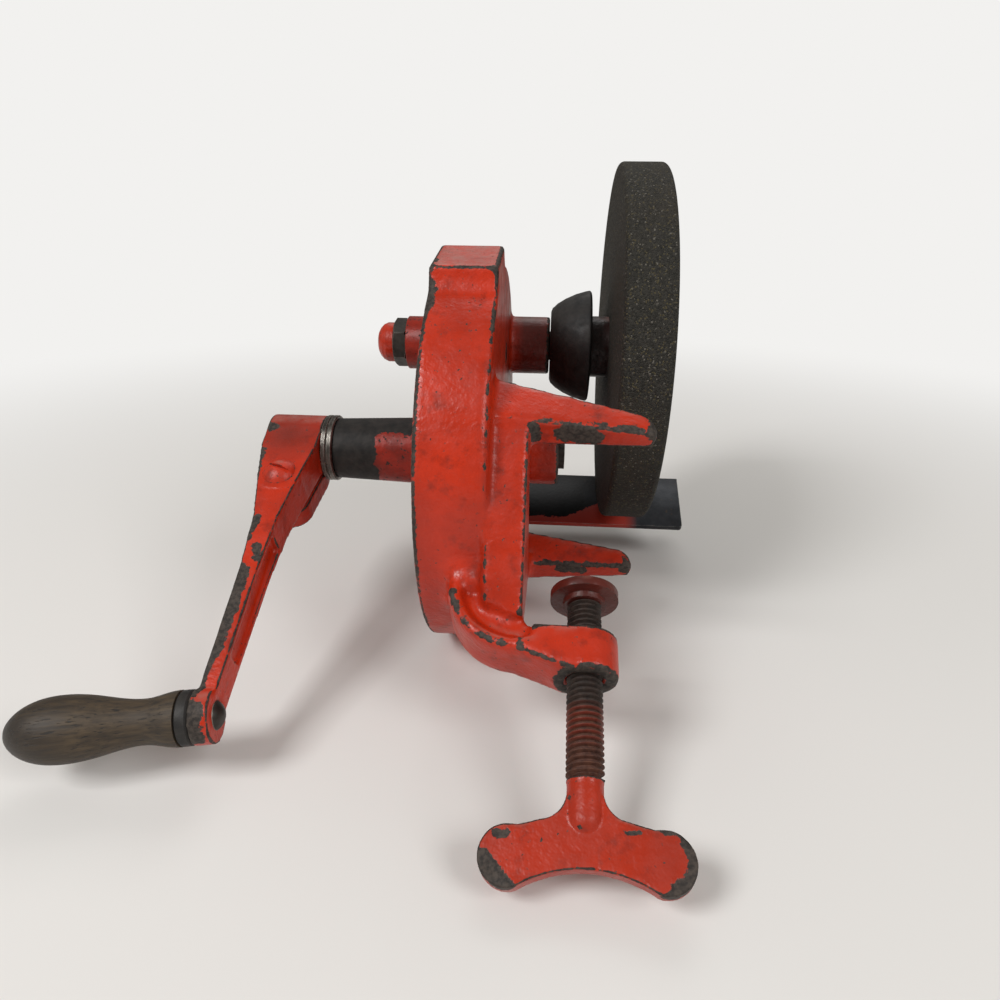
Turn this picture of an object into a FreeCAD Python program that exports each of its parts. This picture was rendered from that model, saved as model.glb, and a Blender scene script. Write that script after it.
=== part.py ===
import FreeCAD, Part
import math
import os
from FreeCAD import Vector

# Hand crank bench grinder. Millimetres. The origin is where the bench top meets the bench edge on
# the centre line of the clamp: the two jaw fingers rest on the bench top, at z = 0, and the frame's
# front face stops against the bench edge, at x = 0. +X runs along the shafts to the wheel, +Z is up,
# away from the clamp screw's wing, and the tool rest is on the +Y side.

os.makedirs("parts", exist_ok=True)

# Clearances
RUN_GAP = 0.05            # radial running clearance of a shaft in its bearing
FIT_GAP = 0.02            # radial clearance of a piece that seats on or in another
SIDE_GAP = 0.3            # axial clearance beside a turning piece
SCREW_GAP = 0.25          # radial clearance of a screw in a plain hole

# Gear case: a drum about the crank axis
RIM_R = 74.0
RIM_WALL = 5.5
CASE_W = 24.2             # outer width of the drum along X
CASE_FRONT = 12.6         # from the frame's front face back to the drum's right face
WALL_T = 4.2              # right wall
RIM_FILLET = 1.2
LUG_ANGLE = 162.0         # flat lug on the drum, seen from the wheel side
LUG_HEIGHT = 5.5          # how far the lug stands out of the drum
LUG_LENGTH = 31.0
LUG_ROOT = 7.0            # radius of the hollow where the lug meets the drum
LUG_INSET = 0.1           # the lug stands in from the drum's faces by this much
LUG_CHAMFER = 0.5

# Shaft axes, as (y, z). The spindle stands near the top of the drum
CRANK_Y, CRANK_Z = 10.5, 38.0
SPINDLE_INSET = 14.0      # from the drum's top down to the spindle's axis
SPINDLE_Y, SPINDLE_Z = 2.0, CRANK_Z + RIM_R - SPINDLE_INSET

# Gear train: crank gear, idler pinion and idler gear on one sleeve, spindle pinion
MODULE = RIM_R / 59.2     # the gears fill the drum
PRESSURE_ANGLE = 25.0
CRANK_TEETH, IDLER_PINION_TEETH = 54, 12
IDLER_TEETH, SPINDLE_TEETH = 38, 12
ADDENDUM = 0.8 * MODULE
DEDENDUM = 1.05 * MODULE
BACKLASH = 0.16           # taken off each tooth's thickness at the pitch circle
GEAR_WIDTH = 6.0
GEAR_STEP = 0.8           # axial gap between the two gear planes
PINION_ROOM = 0.7         # radial room round the spindle's pinion where it dips into the rim

# Side cover, let into the drum's left edge
COVER_T = 4.0
COVER_LEDGE = 2.6         # width of the ledge that the cover seats on
COVER_SCREW_R = 2.4
COVER_SCREW_INSET = 11.0  # from the drum's rim in to the cover screws
COVER_SCREW_RING = RIM_R - COVER_SCREW_INSET
COVER_SCREW_ANGLES = (0.0, 60.0, 180.0, 240.0, 300.0)
COVER_SCREW_LUG_R = 5.4
COVER_SCREW_L = 11.0
COVER_HEAD_R, COVER_HEAD_T = 4.2, 2.2    # the heads are sunk in the cover

# Bearing bosses
SPINDLE_BOSS_R, SPINDLE_BOSS_L = 12.6, 17.6
SPINDLE_TAIL_BOSS_R, SPINDLE_TAIL_BOSS_L = 11.8, 22.2
CRANK_BOSS_R, CRANK_BOSS_L = 12.0, 23.1
CRANK_SLEEVE_R0, CRANK_SLEEVE_R1, CRANK_SLEEVE_L = 14.0, 12.3, 43.6
BUSH_WALL = 2.1

# Spindle and what it carries
SPINDLE_R, SPINDLE_TAIL_R = 6.35, 4.5
BUSH_TAIL_L = 14.0
PLUG_R, PLUG_HEAD_R, PLUG_HEAD_T, PLUG_IN = 6.0, 8.8, 7.4, 8.0
LOCK_NUT_AF, LOCK_NUT_T = 19.0, 6.2
CUP_R0, CUP_R1, CUP_T, CUP_HOLLOW = 16.5, 24.4, 17.6, 6.0
COLLAR_R, COLLAR_T = 13.4, 8.0
WHEEL_R, WHEEL_T, WHEEL_EDGE = 76.2, 19.05, 2.2
WHEEL_BUSH_R = 12.7
OUTER_WASHER_R, OUTER_WASHER_T = 15.0, 2.0
WHEEL_NUT_AF, WHEEL_NUT_T = 19.0, 5.4
SPINDLE_END = 0.6         # how far the spindle stands out of the wheel nut

# Crank shaft, crank and grip
SHAFT_R = 5.55
SHAFT_END = 2.4           # how far the shaft stands out of the right boss
THRUST_R, THRUST_T, THRUST_COUNT = 13.5, 2.4, 2
HUB_R, HUB_L = 13.2, 22.4
ARM_DROP = 120.0          # from the crank axis down to the grip pin
ARM_SHIFT = -4.0          # the grip pin's place across the arm, from the crank axis
ARM_X0, ARM_X1 = -99.4, -92.8
ARM_TOP_HALF, ARM_LOW_HALF = 7.6, 5.6
ARM_PANEL = 1.5           # depth of the hollow in each face of the arm
ARM_FLANGE = 2.6
EYE_R, EYE_T = 8.6, 6.2
EYE_X = -96.3
PINCH_DROP = 25.5         # pinch screw below the crank axis
PINCH_R, PINCH_HEAD_R, PINCH_HEAD_T = 3.1, 6.2, 3.0
PINCH_SLOT = 1.6
CHEEK_DROP = 11.0         # the hub's cheeks keep their full width down to here
EAR_R, EAR_FRONT, EAR_BACK = 8.4, 12.8, 12.2
SPLIT = 1.6
GRIP_TILT = 9.0           # the grip leans down by this many degrees
PIN_R, PIN_HEAD_R, PIN_HEAD_T = 3.2, 4.6, 2.6
FERRULE_R, FERRULE_T = 8.5, 4.2
GRIP_L = 52.0
GRIP_PROFILE = ((0.0, 8.6), (0.085, 8.1), (0.18, 7.1), (0.27, 7.1), (0.40, 8.2), (0.53, 9.6),
                (0.67, 10.35), (0.80, 9.9), (0.91, 8.0), (0.97, 5.9))
GRIP_TIP_R = 4.1
PIN_END_R, PIN_END_T = 3.9, 1.6

# Jaw fingers, tapered frame and screw arm
FINGER_INNER, FINGER_ROOT_W, FINGER_TIP_W = 34.0, 13.0, 7.0
FINGER_ROOT_H, FINGER_TIP_H, FINGER_L = 19.0, 9.6, 42.0
FINGER_NOSE = 6.0         # length of the rounded nose
FRAME_HALF_TOP, FRAME_HALF_LOW = 44.5, 10.0
DRUM_LOW = CRANK_Z - RIM_R
FRAME_DROP = 11.0         # from the drum's lowest point down to the frame's end
FRAME_LOW = DRUM_LOW - FRAME_DROP
FRAME_RISE = 4.0          # how far the wall between the fingers stands above the bench top
ARM_HALF = 10.0           # half the screw arm's width along Y
ARM_BACK = -25.0          # back of the screw arm under the drum
ARM_DEPTH = 15.0          # the screw arm's height under the throat
THROAT_DROP = 16.5        # from the drum's lowest point down to the throat's floor
ARM_TOP_Z = DRUM_LOW - THROAT_DROP
ARM_LOW_Z = ARM_TOP_Z - ARM_DEPTH
ARM_BEND_R, ARM_BEND_X, ARM_BEND_Z = 24.0, -1.0, DRUM_LOW - 2.0
ARM_INNER_R = 6.0
ARM_RIB = 4.6
RECESS_R, RECESS_DEPTH = 11.5, 4.4
SCREW_X = 20.0
ARM_BOSS_R = 10.6

# Clamp screw with its wing, and the swivel pad
SCREW_R = 5.55
SCREW_OUT = 30.1          # thread below the arm, with the pad where the photo has it
SCREW_LOW = ARM_LOW_Z - SCREW_OUT
PAD_LIFT = 17.0           # from the throat's floor up to the pad's face
PAD_R, PAD_T, PAD_TOP = 11.2, 3.0, ARM_TOP_Z + PAD_LIFT
PAD_NECK_R, PAD_NECK_T = 7.0, 2.0
BALL_R, BALL_NECK_R = 3.9, 3.0
NECK_R = 5.2
WING_REACH, WING_LOBE_R, WING_T = 20.6, 8.0, 5.4
WING_SHANK, WING_WEB, WING_HEIGHT = 10.6, 9.5, 12.2
WING_TOP = SCREW_LOW - WING_SHANK
WING_Z = WING_TOP - WING_WEB
WING_BOTTOM = WING_TOP - WING_HEIGHT
WING_FLARE = 6.5
WING_TURN = -4.0          # the wing stands a little off the shafts' direction

# Tool rest: an angle plate with a foot, bolted to the drum's right wall
REST_GAP = 2.8            # between the wheel and the upright plate
REST_T = 2.6
REST_DROP = 7.5           # from the spindle's axis down to the table's face
REST_HEIGHT = 32.0
REST_Z1 = SPINDLE_Z - REST_DROP
REST_Z0 = REST_Z1 - REST_HEIGHT
REST_X1 = 74.0
REST_TABLE = 24.0         # width of the table on top, along Y
REST_BOLT_INSET = 20.5    # from the drum's rim, along Y, in to the bolts
REST_CORNER = 1.5
REST_BOLT_R, REST_BOLT_HEAD_AF, REST_BOLT_HEAD_T = 3.0, 9.5, 4.0
REST_BOLT_L = 8.4
REST_WASHER_R, REST_WASHER_T = 6.0, 1.2
REST_TRAVEL = 9.0         # slot travel, away from the wheel
REST_EDGE = 8.0           # from the slots' far ends to the edge of the foot
REST_PAD_T = 1.6          # raised pad on the wall under the foot
REST_BOLT_RISE = 15.0     # between the two bolts along Z

# Places worked out from the sizes above
CASE_X1 = -CASE_FRONT
CASE_X0 = CASE_X1 - CASE_W
COVER_X1 = CASE_X0 + COVER_T
WALL_X0 = CASE_X1 - WALL_T
RIM_IN = RIM_R - RIM_WALL
GEAR_A0 = COVER_X1 + SIDE_GAP
GEAR_A1 = GEAR_A0 + GEAR_WIDTH
GEAR_B0 = GEAR_A1 + GEAR_STEP
GEAR_B1 = WALL_X0 - SIDE_GAP
CRANK_C = (CRANK_Y, CRANK_Z)
SPINDLE_C = (SPINDLE_Y, SPINDLE_Z)

BOSS_END = CASE_X1 + SPINDLE_BOSS_L
TAIL_END = CASE_X0 - SPINDLE_TAIL_BOSS_L
CUP_X0 = BOSS_END + SIDE_GAP
CUP_X1 = CUP_X0 + CUP_T
COLLAR_X1 = CUP_X1 + COLLAR_T
WHEEL_X1 = COLLAR_X1 + WHEEL_T
WASHER_X1 = WHEEL_X1 + OUTER_WASHER_T
WHEEL_NUT_X1 = WASHER_X1 + WHEEL_NUT_T
SPINDLE_X1 = WHEEL_NUT_X1 + SPINDLE_END
SPINDLE_X0 = TAIL_END + PLUG_IN + SIDE_GAP
BUSH_R = SPINDLE_R + BUSH_WALL
BUSH_TAIL_R = SPINDLE_TAIL_R + BUSH_WALL
SLEEVE_END = CASE_X0 - CRANK_SLEEVE_L
THRUST_X0 = SLEEVE_END - THRUST_T * THRUST_COUNT
HUB_X1 = THRUST_X0 - FIT_GAP
HUB_X0 = HUB_X1 - HUB_L
HUB_X = (HUB_X0 + HUB_X1) / 2
PINCH_Z = CRANK_Z - PINCH_DROP
EYE_Y, EYE_Z = CRANK_Y + ARM_SHIFT, CRANK_Z - ARM_DROP
SHAFT_X1 = CASE_X1 + CRANK_BOSS_L + SHAFT_END
FOOT_X0 = CASE_X1 + REST_PAD_T
FOOT_X1 = FOOT_X0 + REST_T
REST_Y0 = SPINDLE_Y + WHEEL_R + REST_GAP
REST_Y1 = REST_Y0 + REST_T
REST_BOLT_Y = CRANK_Y + RIM_R - REST_BOLT_INSET
REST_FOOT = REST_Y0 - REST_BOLT_Y + REST_TRAVEL + REST_EDGE
REST_Z = (REST_Z0 + REST_Z1) / 2
PAD_LOW = PAD_TOP - PAD_T - PAD_NECK_T


def along_x(radius, x0, x1, centre):
    return Part.makeCylinder(radius, x1 - x0, Vector(x0, centre[0], centre[1]), Vector(1, 0, 0))


def along_y(radius, y0, y1, x, z):
    return Part.makeCylinder(radius, y1 - y0, Vector(x, y0, z), Vector(0, 1, 0))


def along_z(radius, z0, z1, x, y=0.0):
    return Part.makeCylinder(radius, z1 - z0, Vector(x, y, z0), Vector(0, 0, 1))


def cone_x(r0, r1, x0, x1, centre):
    return Part.makeCone(r0, r1, x1 - x0, Vector(x0, centre[0], centre[1]), Vector(1, 0, 0))


def block(x0, x1, y0, y1, z0, z1):
    return Part.makeBox(x1 - x0, y1 - y0, z1 - z0, Vector(x0, y0, z0))


def fused(first, *others):
    return first.fuse(list(others)).removeSplitter()


def on_ring(centre, radius, degrees):
    angle = math.radians(degrees)
    return (centre[0] + radius * math.cos(angle), centre[1] + radius * math.sin(angle))


def turned(points, centre):
    """A solid of revolution about the X axis through centre, from (x, radius) points."""
    wire = Part.makePolygon([Vector(x, r, 0) for x, r in points + points[:1]])
    solid = Part.Face(wire).revolve(Vector(0, 0, 0), Vector(1, 0, 0), 360)
    solid.translate(Vector(0, centre[0], centre[1]))
    return solid


def turned_curve(profile, x0, x1):
    """A solid of revolution about X through the origin, with a smooth outline and flat ends."""
    spline = Part.BSplineCurve()
    spline.interpolate([Vector(x, r, 0) for x, r in profile])
    first = Part.makeLine(Vector(x0, 0, 0), Vector(x0, profile[0][1], 0))
    last = Part.makeLine(Vector(x1, profile[-1][1], 0), Vector(x1, 0, 0))
    axis = Part.makeLine(Vector(x1, 0, 0), Vector(x0, 0, 0))
    wire = Part.Wire([first, spline.toShape(), last, axis])
    return Part.Face(wire).revolve(Vector(0, 0, 0), Vector(1, 0, 0), 360)


def hexagon_x(flats, x0, x1, centre):
    """A hexagonal prism along X with its corners turned off at both ends."""
    corner = flats / math.sqrt(3)
    points = [Vector(x0, *on_ring(centre, corner, 60 * k + 30)) for k in range(7)]
    prism = Part.Face(Part.makePolygon(points)).extrude(Vector(x1 - x0, 0, 0))
    chamfer = corner - flats / 2
    drop = 0.6 * chamfer
    outline = [(x0, 0), (x0, flats / 2), (x0 + drop, corner), (x1 - drop, corner),
               (x1, flats / 2), (x1, 0)]
    return prism.common(turned(outline, centre))


def ruled(sections):
    """A solid with flat faces through polygons with the same number of corners."""
    faces = [Part.Face(Part.makePolygon(points + points[:1]))
             for points in (sections[0], sections[-1])]
    for a, b in zip(sections, sections[1:]):
        for k in range(len(a)):
            m = (k + 1) % len(a)
            faces.append(Part.Face(Part.makePolygon([a[k], a[m], b[m], b[k], a[k]])))
    solid = Part.makeSolid(Part.makeShell(faces))
    if solid.Volume < 0:
        solid.reverse()
    return solid


def gear_points(teeth, phase):
    """Corner points, as (y, z), of an involute gear about the origin.

    phase, in degrees, is the direction of the middle of one tooth.
    """
    pitch_r = MODULE * teeth / 2
    base_r = pitch_r * math.cos(math.radians(PRESSURE_ANGLE))
    tip_r = pitch_r + ADDENDUM
    root_r = pitch_r - DEDENDUM
    involute = math.tan(math.radians(PRESSURE_ANGLE)) - math.radians(PRESSURE_ANGLE)
    half = (math.pi * MODULE / 2 - BACKLASH) / 2 / pitch_r
    start_r = max(base_r, root_r + 0.05 * MODULE)
    flank = []
    steps = 4
    for k in range(steps + 1):
        r = start_r + (tip_r - start_r) * k / steps
        roll = math.acos(min(1.0, base_r / r))
        flank.append((r, half + involute - (math.tan(roll) - roll)))
    foot = flank[0][1]
    root = (root_r, foot + 0.25 * (math.pi / teeth - foot))
    outline = [root] + flank
    points = []
    for tooth in range(teeth):
        middle = math.radians(phase) + 2 * math.pi * tooth / teeth
        for r, a in outline:
            points.append((r * math.cos(middle - a), r * math.sin(middle - a)))
        for r, a in reversed(outline):
            points.append((r * math.cos(middle + a), r * math.sin(middle + a)))
    return points


def gear(teeth, x0, x1, centre, phase):
    points = [Vector(x0, centre[0] + y, centre[1] + z) for y, z in gear_points(teeth, phase)]
    return Part.Face(Part.makePolygon(points + points[:1])).extrude(Vector(x1 - x0, 0, 0))


def bearing_direction(from_centre, to_centre):
    return math.degrees(math.atan2(to_centre[1] - from_centre[1], to_centre[0] - from_centre[0]))


# The idler stands where both pairs of pitch circles touch
CRANK_TO_IDLER = MODULE * (CRANK_TEETH + IDLER_PINION_TEETH) / 2
IDLER_TO_SPINDLE = MODULE * (IDLER_TEETH + SPINDLE_TEETH) / 2
CRANK_TO_SPINDLE = math.hypot(SPINDLE_Y - CRANK_Y, SPINDLE_Z - CRANK_Z)
IDLER_TURN = math.degrees(math.acos(
    (CRANK_TO_SPINDLE ** 2 + CRANK_TO_IDLER ** 2 - IDLER_TO_SPINDLE ** 2)
    / (2 * CRANK_TO_SPINDLE * CRANK_TO_IDLER)))
IDLER_C = on_ring(CRANK_C, CRANK_TO_IDLER, bearing_direction(CRANK_C, SPINDLE_C) + IDLER_TURN)

# Tooth phases: a tooth of each gear points into a gap of the next
CRANK_PHASE = bearing_direction(CRANK_C, IDLER_C)
IDLER_PINION_PHASE = bearing_direction(IDLER_C, CRANK_C) + 180 / IDLER_PINION_TEETH
IDLER_PHASE = bearing_direction(IDLER_C, SPINDLE_C)
SPINDLE_PHASE = bearing_direction(SPINDLE_C, IDLER_C) + 180 / SPINDLE_TEETH

STUD_R = 4.0              # idler stud, pressed into the right wall


def case_lug():
    """The flat lug on the drum, with a hollow on each side where it runs into the rim."""
    lug_reach = RIM_R + LUG_HEIGHT
    side = LUG_LENGTH / 2
    low = math.sqrt((RIM_R - 1.0) ** 2 - (side + LUG_ROOT) ** 2)
    wing = side + LUG_ROOT
    corner_z = RIM_R - 1.5
    rise = lug_reach - corner_z
    outline = [Vector(0, -wing, 0), Vector(0, -wing, low)]
    path = [Part.makeLine(outline[0], outline[1])]
    hollow_a = Vector(0, -side - 0.25 * LUG_ROOT, corner_z + 0.28 * rise)
    path.append(Part.Arc(outline[1], hollow_a, Vector(0, -side, lug_reach)).toShape())
    path.append(Part.makeLine(Vector(0, -side, lug_reach), Vector(0, side, lug_reach)))
    hollow_b = Vector(0, side + 0.25 * LUG_ROOT, corner_z + 0.28 * rise)
    path.append(Part.Arc(Vector(0, side, lug_reach), hollow_b, Vector(0, wing, low)).toShape())
    path.append(Part.makeLine(Vector(0, wing, low), Vector(0, wing, 0)))
    path.append(Part.makeLine(Vector(0, wing, 0), outline[0]))
    lug = Part.Face(Part.Wire(path)).extrude(Vector(CASE_W - 2 * LUG_INSET, 0, 0))
    top = [e for e in lug.Edges
           if e.BoundBox.ZMin > lug_reach - 0.1 and e.BoundBox.XLength < 0.1]
    lug = lug.makeChamfer(LUG_CHAMFER, top)
    lug.rotate(Vector(0, 0, 0), Vector(1, 0, 0), LUG_ANGLE - 90)
    lug.translate(Vector(CASE_X0 + LUG_INSET, CRANK_Y, CRANK_Z))
    return lug


def jaw_finger(side):
    """One tapered finger of the upper jaw, flat underneath, with a rounded nose."""
    def at(x, y):
        return Vector(x, side * y, 0)

    x0 = CASE_X1 - 1.0
    half = FINGER_TIP_W / 2
    tip_x = FINGER_L - half
    corner, end = at(tip_x, FINGER_INNER), at(tip_x, FINGER_INNER + FINGER_TIP_W)
    plan = [
        Part.makeLine(at(x0, FINGER_INNER), corner),
        Part.Arc(corner, at(FINGER_L, FINGER_INNER + half), end).toShape(),
        Part.makeLine(end, at(x0, FINGER_INNER + FINGER_ROOT_W)),
        Part.makeLine(at(x0, FINGER_INNER + FINGER_ROOT_W), at(x0, FINGER_INNER)),
    ]
    body = Part.Face(Part.Wire(plan)).extrude(Vector(0, 0, FINGER_ROOT_H))
    nose_x = FINGER_L - FINGER_NOSE
    low_y = min(side * FINGER_INNER, side * (FINGER_INNER + FINGER_ROOT_W)) - 1.0

    def edge(x, z):
        return Vector(x, low_y, z)

    profile = [
        Part.makeLine(edge(x0, 0), edge(FINGER_L - 1.0, 0)),
        Part.Arc(edge(FINGER_L - 1.0, 0),
                 edge(FINGER_L - 0.22 * FINGER_NOSE, 0.62 * FINGER_TIP_H),
                 edge(nose_x, FINGER_TIP_H)).toShape(),
        Part.makeLine(edge(nose_x, FINGER_TIP_H), edge(x0, FINGER_ROOT_H)),
        Part.makeLine(edge(x0, FINGER_ROOT_H), edge(x0, 0)),
    ]
    side_view = Part.Face(Part.Wire(profile)).extrude(Vector(0, FINGER_ROOT_W + 2.0, 0))
    return body.common(side_view)


def tapered_frame():
    """The wall under the fingers, which narrows down to the screw arm."""
    top, low = FRAME_HALF_TOP, FRAME_HALF_LOW
    inner = FINGER_INNER
    outline = [Vector(0, -top, 0), Vector(0, -low, FRAME_LOW), Vector(0, low, FRAME_LOW),
               Vector(0, top, 0), Vector(0, inner, 0), Vector(0, inner, FRAME_RISE),
               Vector(0, -inner, FRAME_RISE), Vector(0, -inner, 0)]
    depth = CASE_FRONT + 1.0
    return Part.Face(Part.makePolygon(outline + outline[:1])).extrude(Vector(-depth, 0, 0))


def screw_arm():
    """The bent arm under the drum that carries the clamp screw, hollowed on both sides."""
    def at(x, z):
        return Vector(x, -ARM_HALF, z)

    bend = (ARM_BEND_X, ARM_BEND_Z)
    middle = on_ring(bend, ARM_BEND_R, 225)
    root = CRANK_Z - RIM_R + 4.0
    inner_z = ARM_TOP_Z + ARM_INNER_R
    inner = on_ring((ARM_INNER_R, inner_z), ARM_INNER_R, 225)
    boss_x = SCREW_X - 0.5 * ARM_BOSS_R
    path = [
        Part.makeLine(at(0, root), at(0, inner_z)),
        Part.Arc(at(0, inner_z), at(*inner), at(ARM_INNER_R, ARM_TOP_Z)).toShape(),
        Part.makeLine(at(ARM_INNER_R, ARM_TOP_Z), at(SCREW_X, ARM_TOP_Z)),
        Part.makeLine(at(SCREW_X, ARM_TOP_Z), at(SCREW_X, ARM_LOW_Z)),
        Part.makeLine(at(SCREW_X, ARM_LOW_Z), at(boss_x, ARM_LOW_Z)),
        Part.makeLine(at(boss_x, ARM_LOW_Z), at(ARM_BEND_X, ARM_BEND_Z - ARM_BEND_R)),
        Part.Arc(at(ARM_BEND_X, ARM_BEND_Z - ARM_BEND_R), at(*middle),
                 at(ARM_BEND_X - ARM_BEND_R, ARM_BEND_Z)).toShape(),
        Part.makeLine(at(ARM_BEND_X - ARM_BEND_R, ARM_BEND_Z), at(ARM_BACK, root)),
        Part.makeLine(at(ARM_BACK, root), at(0, root)),
    ]
    arm = Part.Face(Part.Wire(path)).extrude(Vector(0, 2 * ARM_HALF, 0))
    boss = along_z(ARM_BOSS_R, ARM_LOW_Z, ARM_TOP_Z, SCREW_X)
    arm = fused(arm, boss)
    recess_out = ARM_BEND_R - ARM_RIB
    quarter = block(ARM_BEND_X - 2 * ARM_BEND_R, ARM_BEND_X + 4.0, -ARM_HALF, ARM_HALF,
                    ARM_BEND_Z - 2 * ARM_BEND_R, ARM_BEND_Z)
    ring = along_y(recess_out, -ARM_HALF, ARM_HALF, *bend).cut(
        along_y(RECESS_R, -ARM_HALF, ARM_HALF, *bend))
    recess = ring.common(quarter)
    web = block(ARM_BEND_X - 2 * ARM_BEND_R, SCREW_X, -ARM_HALF + RECESS_DEPTH,
                ARM_HALF - RECESS_DEPTH, ARM_LOW_Z, root + 1.0)
    return arm.cut(recess.cut(web))


def gear_case():
    drum = along_x(RIM_R, CASE_X0, CASE_X1, CRANK_C)
    rims = [e for e in drum.Edges if e.BoundBox.XLength < 0.01]
    case = fused(drum.makeFillet(RIM_FILLET, rims), case_lug(), tapered_frame(), screw_arm(),
                 jaw_finger(-1), jaw_finger(1),
                 along_x(SPINDLE_BOSS_R, CASE_X1 - 1.0, BOSS_END, SPINDLE_C),
                 along_x(CRANK_BOSS_R, CASE_X1 - 1.0, CASE_X1 + CRANK_BOSS_L, CRANK_C),
                 rest_wall_pad())
    hollow = along_x(RIM_IN, COVER_X1, WALL_X0, CRANK_C)
    for angle in COVER_SCREW_ANGLES:
        spot = on_ring(CRANK_C, COVER_SCREW_RING, angle)
        post = along_x(COVER_SCREW_LUG_R, COVER_X1, WALL_X0, spot)
        bridge_spot = on_ring(CRANK_C, RIM_IN, angle)
        post = post.fuse(along_x(COVER_SCREW_LUG_R, COVER_X1, WALL_X0, bridge_spot))
        hollow = hollow.cut(post)
    case = case.cut(hollow)
    case = case.cut(along_x(RIM_IN + COVER_LEDGE, CASE_X0 - 1.0, COVER_X1, CRANK_C))
    for angle in COVER_SCREW_ANGLES:
        spot = on_ring(CRANK_C, COVER_SCREW_RING, angle)
        case = case.cut(along_x(COVER_SCREW_R + FIT_GAP, COVER_X1 - 1.0,
                                COVER_X1 + COVER_SCREW_L, spot))
    case = case.cut(along_x(BUSH_R + FIT_GAP, WALL_X0 - 1.0, BOSS_END + 1.0, SPINDLE_C))
    case = case.cut(along_x(SHAFT_R + RUN_GAP, WALL_X0 - 1.0,
                            CASE_X1 + CRANK_BOSS_L + 1.0, CRANK_C))
    pocket_r = MODULE * SPINDLE_TEETH / 2 + ADDENDUM + PINION_ROOM
    case = case.cut(along_x(pocket_r, COVER_X1, WALL_X0, SPINDLE_C))
    case = case.cut(along_x(STUD_R + FIT_GAP, WALL_X0 - 1.0, CASE_X1 + 1.0, IDLER_C))
    case = case.cut(along_z(SCREW_R + RUN_GAP, ARM_LOW_Z - 1.0, ARM_TOP_Z + 1.0, SCREW_X))
    for z in rest_bolt_heights():
        case = case.cut(along_x(REST_BOLT_R + FIT_GAP, WALL_X0 - 1.0, FOOT_X0 + 1.0,
                                (REST_BOLT_Y, z)))
    return case


def rest_bolt_heights():
    return [REST_Z - REST_BOLT_RISE / 2, REST_Z + REST_BOLT_RISE / 2]


def rest_wall_pad():
    """The raised pad on the drum's right wall that the tool rest's foot slides on."""
    pads = [along_x(REST_WASHER_R + 1.0, CASE_X1 - 1.0, FOOT_X0, (REST_BOLT_Y, z))
            for z in rest_bolt_heights()]
    return pads[0].fuse(pads[1])


def side_cover():
    plate = along_x(RIM_IN + COVER_LEDGE - SCREW_GAP, CASE_X0, COVER_X1, CRANK_C)
    sleeve = cone_x(CRANK_SLEEVE_R1, CRANK_SLEEVE_R0, SLEEVE_END, CASE_X0 + 1.0, CRANK_C)
    tail = along_x(SPINDLE_TAIL_BOSS_R, TAIL_END, CASE_X0, SPINDLE_C)
    cover = fused(plate, sleeve, tail)
    cover = cover.cut(along_x(SHAFT_R + RUN_GAP, SLEEVE_END - 1.0, COVER_X1 + 1.0, CRANK_C))
    cover = cover.cut(along_x(BUSH_TAIL_R + FIT_GAP, COVER_X1 - BUSH_TAIL_L, COVER_X1 + 1.0,
                              SPINDLE_C))
    cover = cover.cut(along_x(PLUG_R + FIT_GAP, TAIL_END - 1.0, COVER_X1 - BUSH_TAIL_L,
                              SPINDLE_C))
    for angle in COVER_SCREW_ANGLES:
        spot = on_ring(CRANK_C, COVER_SCREW_RING, angle)
        cover = cover.cut(along_x(COVER_SCREW_R + SCREW_GAP, CASE_X0 - 1.0, COVER_X1 + 1.0, spot))
        cover = cover.cut(along_x(COVER_HEAD_R + SCREW_GAP, CASE_X0 - 1.0,
                                  CASE_X0 + COVER_HEAD_T, spot))
    return cover


def slotted_dome(radius, height, slot):
    """A domed screw head along -X, its flat seat at x = 0, with a slot across it."""
    sphere_r = (radius ** 2 + height ** 2) / (2 * height)
    ball = Part.makeSphere(sphere_r, Vector(sphere_r - height, 0, 0))
    head = ball.common(block(-height, 0, -radius - 1, radius + 1, -radius - 1, radius + 1))
    return head.cut(block(-height - 1, -height * 0.45, -radius - 1, radius + 1,
                          -slot / 2, slot / 2))


def cover_screws():
    screws = []
    for angle in COVER_SCREW_ANGLES:
        spot = on_ring(CRANK_C, COVER_SCREW_RING, angle)
        head = slotted_dome(COVER_HEAD_R, COVER_HEAD_T, 1.1)
        head.rotate(Vector(0, 0, 0), Vector(1, 0, 0), angle + 25)
        seat = CASE_X0 + COVER_HEAD_T
        head.translate(Vector(seat, spot[0], spot[1]))
        shank = along_x(COVER_SCREW_R, seat - 0.2, COVER_X1 + COVER_SCREW_L - 1.0, spot)
        screws.append(fused(head, shank))
    return Part.makeCompound(screws)


def crank_gear():
    body = gear(CRANK_TEETH, GEAR_A0, GEAR_A1, CRANK_C, CRANK_PHASE)
    web_r = MODULE * CRANK_TEETH / 2 - DEDENDUM - 4.0
    hub_r = SHAFT_R + 6.0
    for x0, x1 in ((GEAR_A0 - 0.1, GEAR_A0 + 1.4), (GEAR_A1 - 1.4, GEAR_A1 + 0.1)):
        ring = along_x(web_r, x0, x1, CRANK_C).cut(along_x(hub_r, x0, x1, CRANK_C))
        body = body.cut(ring)
    body = fused(body, along_x(hub_r, GEAR_A0, GEAR_B1, CRANK_C))
    return body.cut(along_x(SHAFT_R, GEAR_A0 - 1.0, GEAR_B1 + 1.0, CRANK_C))


def idler_gear():
    pinion = gear(IDLER_PINION_TEETH, GEAR_A0, GEAR_B0 + 0.5, IDLER_C, IDLER_PINION_PHASE)
    wheel = gear(IDLER_TEETH, GEAR_B0, GEAR_B1, IDLER_C, IDLER_PHASE)
    body = fused(pinion, wheel)
    return body.cut(along_x(STUD_R + RUN_GAP, GEAR_A0 - 1.0, GEAR_B1 + 1.0, IDLER_C))


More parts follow.
